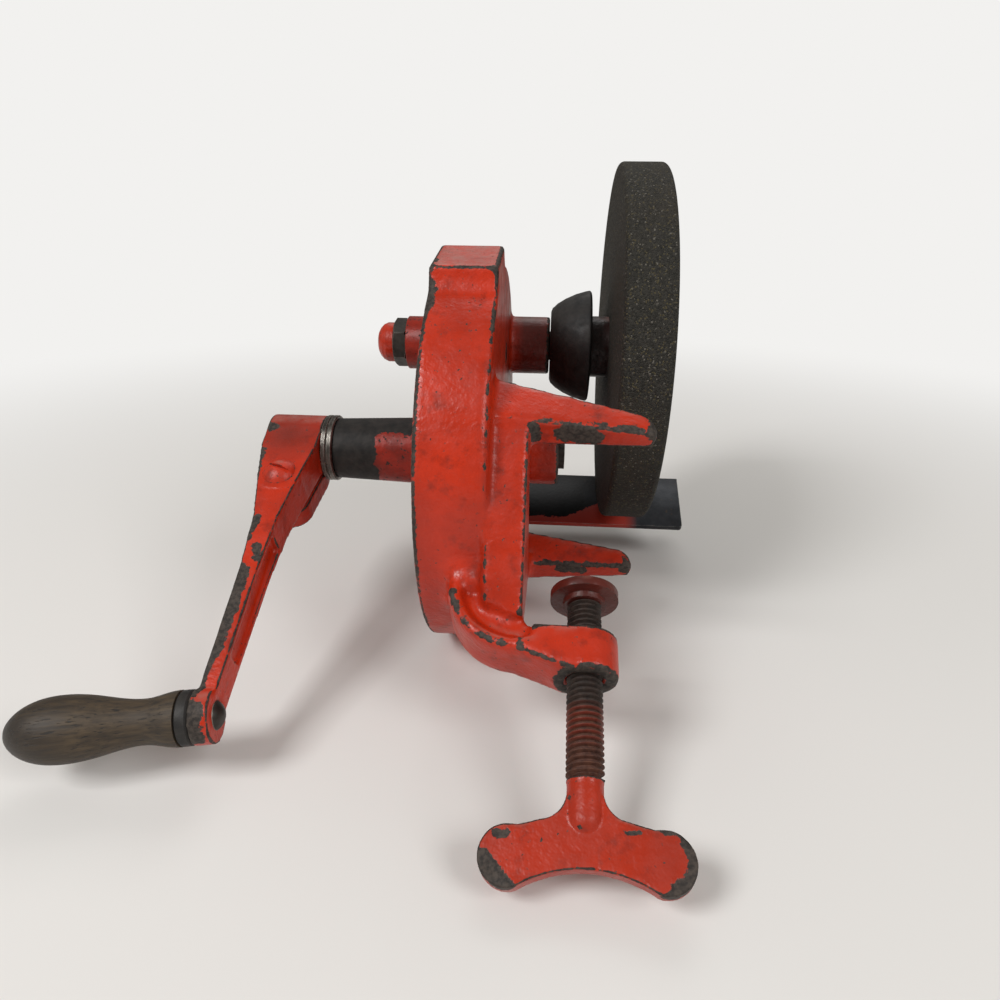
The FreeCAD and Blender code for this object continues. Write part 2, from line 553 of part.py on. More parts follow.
def idler_stud():
    return along_x(STUD_R, COVER_X1 + FIT_GAP, CASE_X1, IDLER_C)


def spindle_pinion():
    body = gear(SPINDLE_TEETH, GEAR_B0, GEAR_B1, SPINDLE_C, SPINDLE_PHASE)
    collar = along_x(MODULE * SPINDLE_TEETH / 2 - DEDENDUM, GEAR_A0, GEAR_B0, SPINDLE_C)
    body = fused(body, collar)
    return body.cut(along_x(SPINDLE_TAIL_R, GEAR_A0 - 1.0, GEAR_B1 + 1.0, SPINDLE_C))


def spindle():
    tail = along_x(SPINDLE_TAIL_R, SPINDLE_X0, GEAR_B1, SPINDLE_C)
    journal = along_x(SPINDLE_R, GEAR_B1, SPINDLE_X1 - 0.8, SPINDLE_C)
    end = cone_x(SPINDLE_R, SPINDLE_R - 0.8, SPINDLE_X1 - 0.8, SPINDLE_X1, SPINDLE_C)
    return fused(tail, journal, end)


def spindle_bush():
    body = along_x(BUSH_R, WALL_X0, BOSS_END, SPINDLE_C)
    return body.cut(along_x(SPINDLE_R + RUN_GAP, WALL_X0 - 1, BOSS_END + 1, SPINDLE_C))


def tail_bush():
    x0 = COVER_X1 - BUSH_TAIL_L
    body = along_x(BUSH_TAIL_R, x0, COVER_X1, SPINDLE_C)
    return body.cut(along_x(SPINDLE_TAIL_R + RUN_GAP, x0 - 1, COVER_X1 + 1, SPINDLE_C))


def end_plug():
    """Screwed plug with a domed head that takes up the spindle's end play."""
    neck_x = TAIL_END - LOCK_NUT_T
    shank = along_x(PLUG_R, neck_x - 0.5, TAIL_END + PLUG_IN, SPINDLE_C)
    low = PLUG_HEAD_R * 0.86
    x_tip = neck_x - PLUG_HEAD_T
    outline = [(neck_x, 0), (neck_x, PLUG_HEAD_R), (neck_x - 0.45 * PLUG_HEAD_T, PLUG_HEAD_R),
               (x_tip + 0.3 * PLUG_HEAD_T, low + 0.4), (x_tip + 0.12 * PLUG_HEAD_T, low - 1.0),
               (x_tip, low - 2.6), (x_tip, 0)]
    return fused(shank, turned(outline, SPINDLE_C))


def lock_nut():
    nut = hexagon_x(LOCK_NUT_AF, TAIL_END - LOCK_NUT_T, TAIL_END, SPINDLE_C)
    return nut.cut(along_x(PLUG_R + FIT_GAP, TAIL_END - LOCK_NUT_T - 1, TAIL_END + 1, SPINDLE_C))


def dust_cup():
    """Dished collar on the spindle between the bearing and the wheel."""
    rise = CUP_R1 - CUP_R0
    outline = [(CUP_X0, 0.0), (CUP_X0, CUP_R0 - 1.6), (CUP_X0 + 0.6, CUP_R0),
               (CUP_X0 + 0.16 * CUP_T, CUP_R0 + 0.26 * rise),
               (CUP_X0 + 0.36 * CUP_T, CUP_R0 + 0.54 * rise),
               (CUP_X0 + 0.62 * CUP_T, CUP_R0 + 0.80 * rise),
               (CUP_X0 + 0.86 * CUP_T, CUP_R0 + 0.96 * rise), (CUP_X1 - 0.8, CUP_R1),
               (CUP_X1, CUP_R1 - 0.8), (CUP_X1, CUP_R1 - 3.0),
               (CUP_X1 - CUP_HOLLOW, CUP_R0), (CUP_X1 - CUP_HOLLOW, COLLAR_R + 1.0),
               (CUP_X1, COLLAR_R), (CUP_X1, 0.0)]
    cup = turned(outline, SPINDLE_C)
    return cup.cut(along_x(SPINDLE_R + FIT_GAP, CUP_X0 - 1, CUP_X1 + 1, SPINDLE_C))


def wheel_collar():
    body = along_x(COLLAR_R, CUP_X1, COLLAR_X1, SPINDLE_C)
    return body.cut(along_x(SPINDLE_R + FIT_GAP, CUP_X1 - 1, COLLAR_X1 + 1, SPINDLE_C))


def grinding_wheel():
    body = along_x(WHEEL_R, COLLAR_X1, WHEEL_X1, SPINDLE_C)
    rims = [e for e in body.Edges if e.BoundBox.XLength < 0.01]
    body = body.makeFillet(WHEEL_EDGE, rims)
    return body.cut(along_x(WHEEL_BUSH_R, COLLAR_X1 - 1, WHEEL_X1 + 1, SPINDLE_C))


def wheel_bush():
    body = along_x(WHEEL_BUSH_R - FIT_GAP, COLLAR_X1, WHEEL_X1, SPINDLE_C)
    return body.cut(along_x(SPINDLE_R + FIT_GAP, COLLAR_X1 - 1, WHEEL_X1 + 1, SPINDLE_C))


def outer_washer():
    body = along_x(OUTER_WASHER_R, WHEEL_X1, WASHER_X1, SPINDLE_C)
    return body.cut(along_x(SPINDLE_R + FIT_GAP, WHEEL_X1 - 1, WASHER_X1 + 1, SPINDLE_C))


def wheel_nut():
    nut = hexagon_x(WHEEL_NUT_AF, WASHER_X1, WHEEL_NUT_X1, SPINDLE_C)
    return nut.cut(along_x(SPINDLE_R + FIT_GAP, WASHER_X1 - 1, WHEEL_NUT_X1 + 1, SPINDLE_C))


def crank_shaft():
    return along_x(SHAFT_R, HUB_X0 - 0.8, SHAFT_X1, CRANK_C)


def thrust_washers():
    rings = []
    for k in range(THRUST_COUNT):
        x0 = THRUST_X0 + k * THRUST_T
        ring = turned([(x0, 0), (x0, THRUST_R - 0.5), (x0 + 0.5, THRUST_R),
                       (x0 + THRUST_T - 0.5, THRUST_R), (x0 + THRUST_T - FIT_GAP, THRUST_R - 0.5),
                       (x0 + THRUST_T - FIT_GAP, 0)], CRANK_C)
        rings.append(ring.cut(along_x(SHAFT_R + RUN_GAP, x0 - 1, x0 + THRUST_T + 1, CRANK_C)))
    return Part.makeCompound(rings)


def leaned(shape):
    """Turns a piece made along -X at the origin to the grip pin's axis and place."""
    shape.rotate(Vector(0, 0, 0), Vector(0, 1, 0), -GRIP_TILT)
    shape.translate(Vector(EYE_X, EYE_Y, EYE_Z))
    return shape


def crank_arm():
    """Split hub with two ears, a hollowed arm and the eye for the grip pin."""
    hub = along_x(HUB_R, HUB_X0, HUB_X1, CRANK_C)
    front_y, back_y = CRANK_Y - EAR_FRONT, CRANK_Y + EAR_BACK
    half = EAR_R
    wide = HUB_L / 2 - 0.2

    def cheek(z, reach):
        return [Vector(HUB_X - reach, front_y, z), Vector(HUB_X + reach, front_y, z),
                Vector(HUB_X + reach, back_y, z), Vector(HUB_X - reach, back_y, z)]

    cheeks = ruled([cheek(PINCH_Z, half), cheek(CRANK_Z - CHEEK_DROP, wide),
                    cheek(CRANK_Z, wide)])
    ears = along_y(EAR_R, front_y, back_y, HUB_X, PINCH_Z)
    hub = fused(hub, cheeks, ears)

    arm_y = front_y + ARM_TOP_HALF
    top = [Vector(HUB_X - half, arm_y - ARM_TOP_HALF, PINCH_Z),
           Vector(HUB_X + half, arm_y - ARM_TOP_HALF, PINCH_Z),
           Vector(HUB_X + half, arm_y + ARM_TOP_HALF, PINCH_Z),
           Vector(HUB_X - half, arm_y + ARM_TOP_HALF, PINCH_Z)]

    def section(t, x0, x1):
        z = PINCH_Z + (EYE_Z - PINCH_Z) * t
        y = arm_y + (EYE_Y - arm_y) * t
        w = ARM_TOP_HALF + (ARM_LOW_HALF - ARM_TOP_HALF) * t
        return [Vector(x0, y - w, z), Vector(x1, y - w, z), Vector(x1, y + w, z),
                Vector(x0, y + w, z)]

    shoulder = section(0.22, ARM_X0 - 1.4, ARM_X1 + 1.4)
    arm = ruled([top, shoulder])
    arm = fused(arm, ruled([shoulder, section(0.45, ARM_X0, ARM_X1)]),
                ruled([section(0.45, ARM_X0, ARM_X1), section(1.0, ARM_X0 + 0.4, ARM_X1 - 0.6)]))

    def panel(t, x0, x1):
        z = PINCH_Z + (EYE_Z - PINCH_Z) * t
        y = arm_y + (EYE_Y - arm_y) * t
        w = ARM_TOP_HALF + (ARM_LOW_HALF - ARM_TOP_HALF) * t - ARM_FLANGE
        return [Vector(x0, y - w, z), Vector(x1, y - w, z), Vector(x1, y + w, z),
                Vector(x0, y + w, z)]

    for x0, x1 in ((ARM_X0 - 9.0, ARM_X0 + ARM_PANEL), (ARM_X1 - ARM_PANEL, ARM_X1 + 9.0)):
        arm = arm.cut(ruled([panel(0.30, x0, x1), panel(0.80, x0, x1)]))

    eye = leaned(Part.makeCylinder(EYE_R, EYE_T, Vector(-EYE_T / 2, 0, 0), Vector(1, 0, 0)))
    crank = fused(hub, arm, eye)
    crank = crank.cut(along_x(SHAFT_R, HUB_X0 - 1, HUB_X1 + 1, CRANK_C))
    slit_z = PINCH_Z - EAR_R - 1.0
    split_y = arm_y + ARM_TOP_HALF + 0.2
    crank = crank.cut(block(HUB_X0 - 1, HUB_X1 + 1, split_y, split_y + SPLIT, slit_z, CRANK_Z))
    crank = crank.cut(along_y(PINCH_R + FIT_GAP, front_y - 1, back_y + 1, HUB_X, PINCH_Z))
    hole = Part.makeCylinder(PIN_R, EYE_T + 4, Vector(-EYE_T / 2 - 2, 0, 0), Vector(1, 0, 0))
    rivet_seat = Part.makeCylinder(PIN_HEAD_R + SIDE_GAP, PIN_HEAD_T + 2, Vector(EYE_T / 2, 0, 0),
                                   Vector(1, 0, 0))
    grip_seat = Part.makeCylinder(FERRULE_R + SIDE_GAP, FERRULE_T + 4,
                                  Vector(-EYE_T / 2 - FERRULE_T - 4, 0, 0), Vector(1, 0, 0))
    for cutter in (hole, rivet_seat, grip_seat):
        crank = crank.cut(leaned(cutter))
    return crank.removeSplitter()


def pinch_screw():
    front_y = CRANK_Y - EAR_FRONT
    head = slotted_dome(PINCH_HEAD_R, PINCH_HEAD_T, PINCH_SLOT)
    head.rotate(Vector(0, 0, 0), Vector(1, 0, 0), 20)
    head.rotate(Vector(0, 0, 0), Vector(0, 0, 1), 90)
    head.translate(Vector(HUB_X, front_y - FIT_GAP, PINCH_Z))
    shank = along_y(PINCH_R, front_y - 0.4, CRANK_Y + EAR_BACK, HUB_X, PINCH_Z)
    return fused(head, shank)


def grip_pin():
    """Rod riveted in the eye, with a small head sunk in the end of the grip."""
    right = EYE_T / 2
    left = -right - FERRULE_T - GRIP_L
    rod = Part.makeCylinder(PIN_R, right + 0.5 - left - 1.0, Vector(left + 1.0, 0, 0),
                            Vector(1, 0, 0))
    sphere_r = (PIN_HEAD_R ** 2 + PIN_HEAD_T ** 2) / (2 * PIN_HEAD_T)
    rivet = Part.makeSphere(sphere_r, Vector(right + PIN_HEAD_T - sphere_r, 0, 0)).common(
        block(right + FIT_GAP, right + PIN_HEAD_T, -PIN_HEAD_R, PIN_HEAD_R, -PIN_HEAD_R,
              PIN_HEAD_R))
    end = Part.makeCylinder(PIN_END_R, PIN_END_T, Vector(left + 0.6, 0, 0), Vector(1, 0, 0))
    return leaned(fused(rod, rivet, end))


def grip_ferrule():
    x1 = -EYE_T / 2 - FIT_GAP
    x0 = x1 - FERRULE_T + 2 * FIT_GAP
    ring = turned([(x0, 0), (x0, FERRULE_R - 0.7), (x0 + 0.7, FERRULE_R),
                   (x1 - 0.7, FERRULE_R), (x1, FERRULE_R - 0.7), (x1, 0)], (0, 0))
    return leaned(ring.cut(along_x(PIN_R + FIT_GAP, x0 - 1, x1 + 1, (0, 0))))


def wooden_grip():
    x0 = -EYE_T / 2 - FERRULE_T - RUN_GAP
    tip = x0 - GRIP_L
    profile = [(x0 - GRIP_L * share, r) for share, r in GRIP_PROFILE] + [(tip, GRIP_TIP_R + 0.2)]
    body = turned_curve(profile, x0, tip)
    body = body.cut(along_x(PIN_R + RUN_GAP, tip - 1, x0 + 1, (0, 0)))
    sink = PIN_END_T + 0.6 + 2 * RUN_GAP
    body = body.cut(along_x(PIN_END_R + RUN_GAP, tip - 1, tip + sink, (0, 0)))
    return leaned(body)


def clamp_screw():
    """Threaded rod with a ball end for the pad and a cast wing at the bottom."""
    ball_z = PAD_TOP - PAD_T / 2 - BALL_R + 1.0
    rod = along_z(SCREW_R, SCREW_LOW, PAD_LOW - SIDE_GAP, SCREW_X)
    neck = along_z(BALL_NECK_R, PAD_LOW - 1.0, ball_z, SCREW_X)
    ball = Part.makeSphere(BALL_R, Vector(SCREW_X, 0, ball_z))
    shank = along_z(NECK_R, WING_TOP + 1.0, SCREW_LOW, SCREW_X)
    dome = Part.makeSphere(NECK_R, Vector(SCREW_X, 0, WING_TOP + 1.0))
    return fused(rod, neck, ball, shank, dome, wing())


def wing():
    """Butterfly wing: two round lobes joined by a waisted web, in the XZ plane."""
    def at(x, z):
        return Vector(SCREW_X + x, -WING_T / 2, z)

    reach, lobe = WING_REACH, WING_LOBE_R
    top_z = WING_Z + lobe * math.sin(math.radians(75))
    top_x = reach - lobe * math.cos(math.radians(75))
    low_z = WING_Z - lobe * math.sin(math.radians(75))
    path = [
        Part.Arc(at(-NECK_R, WING_TOP + WING_FLARE),
                 at(-NECK_R - 0.33 * WING_FLARE, WING_TOP + 0.33 * WING_FLARE),
                 at(-NECK_R - WING_FLARE, WING_TOP)).toShape(),
        Part.makeLine(at(-NECK_R - WING_FLARE, WING_TOP), at(-top_x, top_z)),
        Part.Arc(at(-top_x, top_z), at(-reach - lobe, WING_Z), at(-top_x, low_z)).toShape(),
        Part.Arc(at(-top_x, low_z), at(0, WING_BOTTOM), at(top_x, low_z)).toShape(),
        Part.Arc(at(top_x, low_z), at(reach + lobe, WING_Z), at(top_x, top_z)).toShape(),
        Part.makeLine(at(top_x, top_z), at(NECK_R + WING_FLARE, WING_TOP)),
        Part.Arc(at(NECK_R + WING_FLARE, WING_TOP),
                 at(NECK_R + 0.33 * WING_FLARE, WING_TOP + 0.33 * WING_FLARE),
                 at(NECK_R, WING_TOP + WING_FLARE)).toShape(),
        Part.makeLine(at(NECK_R, WING_TOP + WING_FLARE), at(-NECK_R, WING_TOP + WING_FLARE)),
    ]
    plate = Part.Face(Part.Wire(path)).extrude(Vector(0, WING_T, 0))
    plate.rotate(Vector(SCREW_X, 0, 0), Vector(0, 0, 1), WING_TURN)
    return plate


def clamp_pad():
    """Swivel disc with a socket that holds the screw's ball."""
    ball_z = PAD_TOP - PAD_T / 2 - BALL_R + 1.0
    z0, z1 = PAD_TOP - PAD_T, PAD_TOP
    disc = along_z(PAD_R, z0, z1, SCREW_X)
    neck = along_z(PAD_NECK_R, PAD_LOW, z0, SCREW_X)
    pad = fused(disc, neck)
    pad = pad.cut(Part.makeSphere(BALL_R + RUN_GAP, Vector(SCREW_X, 0, ball_z)))
    return pad.cut(along_z(BALL_NECK_R + SCREW_GAP, PAD_LOW - 1, ball_z, SCREW_X))


def tool_rest():
    """Angle plate: a table on top, an upright plate behind the wheel, and a slotted foot."""
    upright = block(FOOT_X0, REST_X1, REST_Y0, REST_Y1, REST_Z0, REST_Z1)
    table = block(FOOT_X0, REST_X1, REST_Y0, REST_Y0 + REST_TABLE, REST_Z1 - REST_T, REST_Z1)
    foot = block(FOOT_X0, FOOT_X1, REST_Y0 - REST_FOOT, REST_Y1, REST_Z0, REST_Z1)
    rest = fused(upright, table, foot)
    corner = block(REST_X1 - REST_CORNER, REST_X1 + 1, REST_Y0 - 1, REST_Y1 + 1, REST_Z0 - 1,
                   REST_Z0 + REST_CORNER)
    keep = along_y(REST_CORNER, REST_Y0 - 1, REST_Y1 + 1, REST_X1 - REST_CORNER,
                   REST_Z0 + REST_CORNER)
    rest = rest.cut(corner.cut(keep))
    for z in rest_bolt_heights():
        slot = along_x(REST_BOLT_R + SCREW_GAP, FOOT_X0 - 1, FOOT_X1 + 1, (REST_BOLT_Y, z))
        far = along_x(REST_BOLT_R + SCREW_GAP, FOOT_X0 - 1, FOOT_X1 + 1,
                      (REST_BOLT_Y - REST_TRAVEL, z))
        between = block(FOOT_X0 - 1, FOOT_X1 + 1, REST_BOLT_Y - REST_TRAVEL, REST_BOLT_Y,
                        z - REST_BOLT_R - SCREW_GAP, z + REST_BOLT_R + SCREW_GAP)
        rest = rest.cut(fused(slot, far, between))
    return rest


def rest_bolts():
    bolts = []
    for z in rest_bolt_heights():
        spot = (REST_BOLT_Y, z)
        seat = FOOT_X1 + REST_WASHER_T + 2 * FIT_GAP
        head = hexagon_x(REST_BOLT_HEAD_AF, seat, seat + REST_BOLT_HEAD_T, spot)
        bolts.append(fused(head, along_x(REST_BOLT_R, seat - REST_BOLT_L, seat + 1.0, spot)))
    return Part.makeCompound(bolts)


def rest_washers():
    rings = []
    for z in rest_bolt_heights():
        spot = (REST_BOLT_Y, z)
        x0 = FOOT_X1 + FIT_GAP
        ring = along_x(REST_WASHER_R, x0, x0 + REST_WASHER_T, spot)
        rings.append(ring.cut(along_x(REST_BOLT_R + FIT_GAP, x0 - 1, x0 + REST_WASHER_T + 1, spot)))
    return Part.makeCompound(rings)


PIECES = {
    "gear_case": gear_case,
    "side_cover": side_cover,
    "cover_screws": cover_screws,
    "spindle_bush": spindle_bush,
    "tail_bush": tail_bush,
    "end_plug": end_plug,
    "lock_nut": lock_nut,
    "idler_stud": idler_stud,
    "idler_gear": idler_gear,
    "crank_shaft": crank_shaft,
    "crank_gear": crank_gear,
    "thrust_washers": thrust_washers,
    "crank_arm": crank_arm,
    "pinch_screw": pinch_screw,
    "grip_pin": grip_pin,
    "grip_ferrule": grip_ferrule,
    "wooden_grip": wooden_grip,
    "spindle": spindle,
    "spindle_pinion": spindle_pinion,
    "dust_cup": dust_cup,
    "wheel_collar": wheel_collar,
    "grinding_wheel": grinding_wheel,
    "wheel_bush": wheel_bush,
    "outer_washer": outer_washer,
    "wheel_nut": wheel_nut,
    "clamp_screw": clamp_screw,
    "clamp_pad": clamp_pad,
    "tool_rest": tool_rest,
    "rest_bolts": rest_bolts,
    "rest_washers": rest_washers,
}

for name, make in PIECES.items():
    shape = make()
    solids = len(shape.Solids)
    box = shape.BoundBox
    print(f"{name}: {solids} solid, {shape.Volume / 1000:.2f} cm3, valid {shape.isValid()}, "
          f"x {box.XMin:.1f} {box.XMax:.1f} y {box.YMin:.1f} {box.YMax:.1f} "
          f"z {box.ZMin:.1f} {box.ZMax:.1f}")
    shape.exportStep(f"parts/{name}.step")
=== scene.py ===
# %% [markdown]
# # Hand crank bench grinder
# The imported solids are the fixed frame of this scene: +X runs along the shafts to the wheel, +Y to
# the tool rest, +Z up along the clamp screw, away from its wing. Blender counts in metres, and most
# sizes below are written in millimetres and turned by MM. We load the solids first.

import math

import bpy
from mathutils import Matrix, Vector


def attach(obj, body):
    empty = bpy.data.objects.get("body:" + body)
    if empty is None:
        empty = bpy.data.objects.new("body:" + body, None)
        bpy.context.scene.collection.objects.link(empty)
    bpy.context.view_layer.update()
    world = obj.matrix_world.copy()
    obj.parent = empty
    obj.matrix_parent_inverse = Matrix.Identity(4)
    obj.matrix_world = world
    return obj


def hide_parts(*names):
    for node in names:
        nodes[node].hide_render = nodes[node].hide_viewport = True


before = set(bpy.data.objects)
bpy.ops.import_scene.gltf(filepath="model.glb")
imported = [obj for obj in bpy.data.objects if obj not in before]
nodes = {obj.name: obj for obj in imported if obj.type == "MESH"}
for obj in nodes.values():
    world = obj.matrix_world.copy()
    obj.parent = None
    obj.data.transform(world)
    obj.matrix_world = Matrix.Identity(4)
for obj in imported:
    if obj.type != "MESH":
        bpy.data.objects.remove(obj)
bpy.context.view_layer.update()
MM = 0.001
print("solids loaded:", len(nodes))

# %% [markdown]
# Colours are easiest to judge as sRGB hex values, as read off a screen, but the shaders want linear
# light. One function does that turn for every colour in the file.

# %% A colour from its hex value
def colour(hex_value):
    """Turns an sRGB hex value such as C2321C into linear RGBA."""
    channels = [int(hex_value[k:k + 2], 16) / 255 for k in (0, 2, 4)]
    linear = [c / 12.92 if c <= 0.04045 else ((c + 0.055) / 1.055) ** 2.4 for c in channels]
    return (*linear, 1.0)


print("enamel in linear light:", [round(c, 3) for c in colour("C2321C")])

# %% [markdown]
# A material is a graph. One small function adds a node, gives it its settings, and fills its inputs
# with either numbers or links. The finishes below are then written as short recipes.

# %% A node with its settings and links
def add(material, kind, inputs=None, **settings):
    """Adds a node to a material or world, with its settings, and fills or links its inputs."""
    new = material.node_tree.nodes.new(kind)
    for name, value in settings.items():
        setattr(new, name, value)
    for name, value in (inputs or {}).items():
        if isinstance(value, bpy.types.NodeSocket):
            material.node_tree.links.new(value, new.inputs[name])
        else:
            new.inputs[name].default_value = value
    return new


def empty_material(name):
    """A new material with no nodes in it."""
    material = bpy.data.materials.new(name)
    material.use_nodes = True
    material.node_tree.nodes.clear()
    return material


print("materials before the finishes:", len(bpy.data.materials))

# %% [markdown]
# Every old finish is a stack of coats: the paint, patches where it darkened, chips down to the iron.
# Each coat needs a mask. Patches come from noise at a real size in millimetres. Worn edges of turned
# pieces come from the angle between the true normal and a rounded one, and worn ridges of a finely
# meshed casting from its pointiness. Worn places come from the distance to a point or a line.

# %% Masks: patches, edges and places
def here(material):
    """The place on the piece, in its own coordinates."""
    return add(material, "ShaderNodeTexCoord").outputs["Object"]


def patches(material, size, low, high, seed=0.0, detail=4.0):
    """Noise with patches of that size in mm: 0 below low, 1 above high."""
    cloud = add(material, "ShaderNodeTexNoise",
                {"Vector": here(material), "W": seed, "Scale": 1 / (size * MM), "Detail": detail,
                 "Roughness": 0.6}, noise_dimensions="4D")
    return add(material, "ShaderNodeMapRange",
               {0: cloud.outputs["Fac"], 1: low, 2: high}).outputs[0]


def edges(material, radius, low=0.015, high=0.12):
    """1 at the edges of the shape, falling to 0 about radius mm away from them."""
    rounded = add(material, "ShaderNodeBevel", {"Radius": radius * MM}, samples=6)
    true = add(material, "ShaderNodeNewGeometry")
    dot = add(material, "ShaderNodeVectorMath",
              {0: rounded.outputs[0], 1: true.outputs["Normal"]}, operation="DOT_PRODUCT")
    return add(material, "ShaderNodeMapRange",
               {0: dot.outputs["Value"], 1: 1 - low, 2: 1 - high}).outputs[0]


def ridges(material, size, seed=0.0):
    """1 along the rounded edges of a finely meshed casting, as a ragged line.

    Where the skin is flat, the pointiness is 0.5.
    """
    raised = add(material, "ShaderNodeMapRange",
                 {0: add(material, "ShaderNodeNewGeometry").outputs["Pointiness"],
                  1: 0.508, 2: 0.535})
    ragged = both(material, both(material, raised.outputs[0], 0.62),
                  both(material, patches(material, size, 0.3, 0.7, seed), 0.38), "ADD")
    return add(material, "ShaderNodeMapRange", {0: ragged, 1: 0.66, 2: 0.72}).outputs[0]


def near(material, place, radius, soft):
    """1 within radius mm of a place, or of the line between two, falling to 0 over soft mm."""
    ends = place if isinstance(place[0], tuple) else (place, place)
    start, end = (Vector(p) * MM for p in ends)
    reach = add(material, "ShaderNodeVectorMath", {0: here(material), 1: tuple(start)},
                operation="SUBTRACT")
    if end != start:
        span = end - start
        share = add(material, "ShaderNodeVectorMath",
                    {0: reach.outputs[0], 1: tuple(span / span.length_squared)},
                    operation="DOT_PRODUCT")
        held = add(material, "ShaderNodeClamp", {"Value": share.outputs["Value"]})
        foot = add(material, "ShaderNodeVectorMath",
                   {0: tuple(span), "Scale": held.outputs[0]}, operation="SCALE")
        reach = add(material, "ShaderNodeVectorMath",
                    {0: reach.outputs[0], 1: foot.outputs[0]}, operation="SUBTRACT")
    away = add(material, "ShaderNodeVectorMath", {0: reach.outputs[0]}, operation="LENGTH")
    return add(material, "ShaderNodeMapRange",
               {0: away.outputs["Value"], 1: (radius + soft) * MM, 2: radius * MM}).outputs[0]


def along(material, axis, start, end):
    """0 before start and 1 after end, in mm, along X, Y or Z."""
    split = add(material, "ShaderNodeSeparateXYZ", {0: here(material)})
    return add(material, "ShaderNodeMapRange",
               {0: split.outputs[axis], 1: start * MM, 2: end * MM}).outputs[0]


def both(material, first, second, operation="MULTIPLY"):
    """Two masks joined by one sum, kept between 0 and 1."""
    return add(material, "ShaderNodeMath", {0: first, 1: second}, operation=operation,
               use_clamp=True).outputs[0]


def coat(material, mask, under, over):
    """The colour under where the mask is 0, and over where it is 1."""
    return add(material, "ShaderNodeMix", {0: mask, 6: under, 7: over},
               data_type="RGBA").outputs[2]


def grade(material, mask, under, over):
    """A number that goes from under to over with the mask."""
    return add(material, "ShaderNodeMapRange", {0: mask, 3: under, 4: over}).outputs[0]


def surface(material, tint, roughness, relief=None, depth=0.1, **constants):
    """Ends a material: a Principled shader, with relief as bumps of that depth in mm."""
    shader = add(material, "ShaderNodeBsdfPrincipled",
                 {"Base Color": tint, "Roughness": roughness})
    for name, value in constants.items():
        socket = shader.inputs[name.replace("_", " ")]
        if isinstance(value, bpy.types.NodeSocket):
            material.node_tree.links.new(value, socket)
        else:
            socket.default_value = value
    if relief is not None:
        bump = add(material, "ShaderNodeBump", {"Height": relief, "Distance": depth * MM})
        material.node_tree.links.new(bump.outputs[0], shader.inputs["Normal"])
    add(material, "ShaderNodeOutputMaterial", {"Surface": shader.outputs[0]})
    return material


# %% [markdown]
# ## Enamel on a sand casting
# The case, arm, wing and pad are grey iron, cast in sand and dipped or brushed with vermilion
# enamel. Sand leaves a pebbled skin of 2 to 4 mm lumps that the thick glossy paint follows. The
# paint has darker patches and darker places, carries pinhead black specks, and is chipped to dull
# brown-grey iron along edges; some darker places are painted shade, and upward faces are paler with
# dust and painted top light. One recipe makes them all; each piece says where it is worn.

# %% Worn vermilion enamel
def cast_enamel(name, worn=(), dark=(), hue="BC2B09", mid="A3250A", aged="7E1F0E",
                edge=None):
    """Enamel on cast iron: worn and dark are (place or line, radius, soft) in mm.

    With edge in mm it suits turned pieces; without, it looks for the ridges of a casting.
    """
    material = empty_material(name)
    tint = coat(material, patches(material, 17, 0.38, 0.66, 1.0), colour(hue), colour(mid))
    tint = coat(material, patches(material, 6, 0.55, 0.75, 2.0), tint, colour(aged))
    # Darker red at the given places; on the case's spindle boss it is painted shade.
    for place, radius, soft in dark:
        tint = coat(material, near(material, place, radius, soft), tint, colour("6E2318"))
    # Upward-facing skin turns pale pink: partly dust, partly painted top light from above.
    normal = add(material, "ShaderNodeTexCoord").outputs["Normal"]
    facing = add(material, "ShaderNodeVectorMath", {0: normal, 1: (0.0, -0.95, 0.31)},
                 operation="DOT_PRODUCT")
    dust_and_top_light = add(material, "ShaderNodeMapRange", {0: facing.outputs["Value"], 1: 0.95, 2: 1.0})
    dusty_and_lit = both(material, dust_and_top_light.outputs[0], patches(material, 4, 0.3, 0.65, 3.0))
    tint = coat(material, both(material, dusty_and_lit, 0.55), tint, colour("9A6E64"))
    if edge:
        bare = both(material, edges(material, edge), patches(material, 3.2, 0.5, 0.57, 4.0))
    else:
        bare = ridges(material, 2.6, 4.0)
    for place, radius, soft in worn:
        ragged = both(material, both(material, near(material, place, radius, soft), 0.6),
                      both(material, patches(material, 2.4, 0.34, 0.66, 5.0), 0.4), "ADD")
        spot = add(material, "ShaderNodeMapRange", {0: ragged, 1: 0.5, 2: 0.56}).outputs[0]
        bare = both(material, bare, spot, "MAXIMUM")
    chips = both(material, patches(material, 1.5, 0.66, 0.69, 6.0, 2.0),
                 patches(material, 16, 0.42, 0.52, 6.5))
    bare = both(material, bare, chips, "MAXIMUM")
    iron = coat(material, patches(material, 1.2, 0.4, 0.6, 7.0), colour("241E1A"),
                colour("433A33"))
    tint = coat(material, bare, tint, iron)
    sheen = grade(material, patches(material, 8, 0.35, 0.65, 8.0), 0.29, 0.46)
    rough = both(material, both(material, bare, 0.3), sheen, "ADD")
    pebbles = patches(material, 2.6, 0.3, 0.7, 9.0, 2.0)
    relief = both(material, both(material, pebbles, 0.8), both(material, bare, 0.25), "SUBTRACT")
    return surface(material, tint, rough, relief, 0.16, Specular_IOR_Level=0.42)
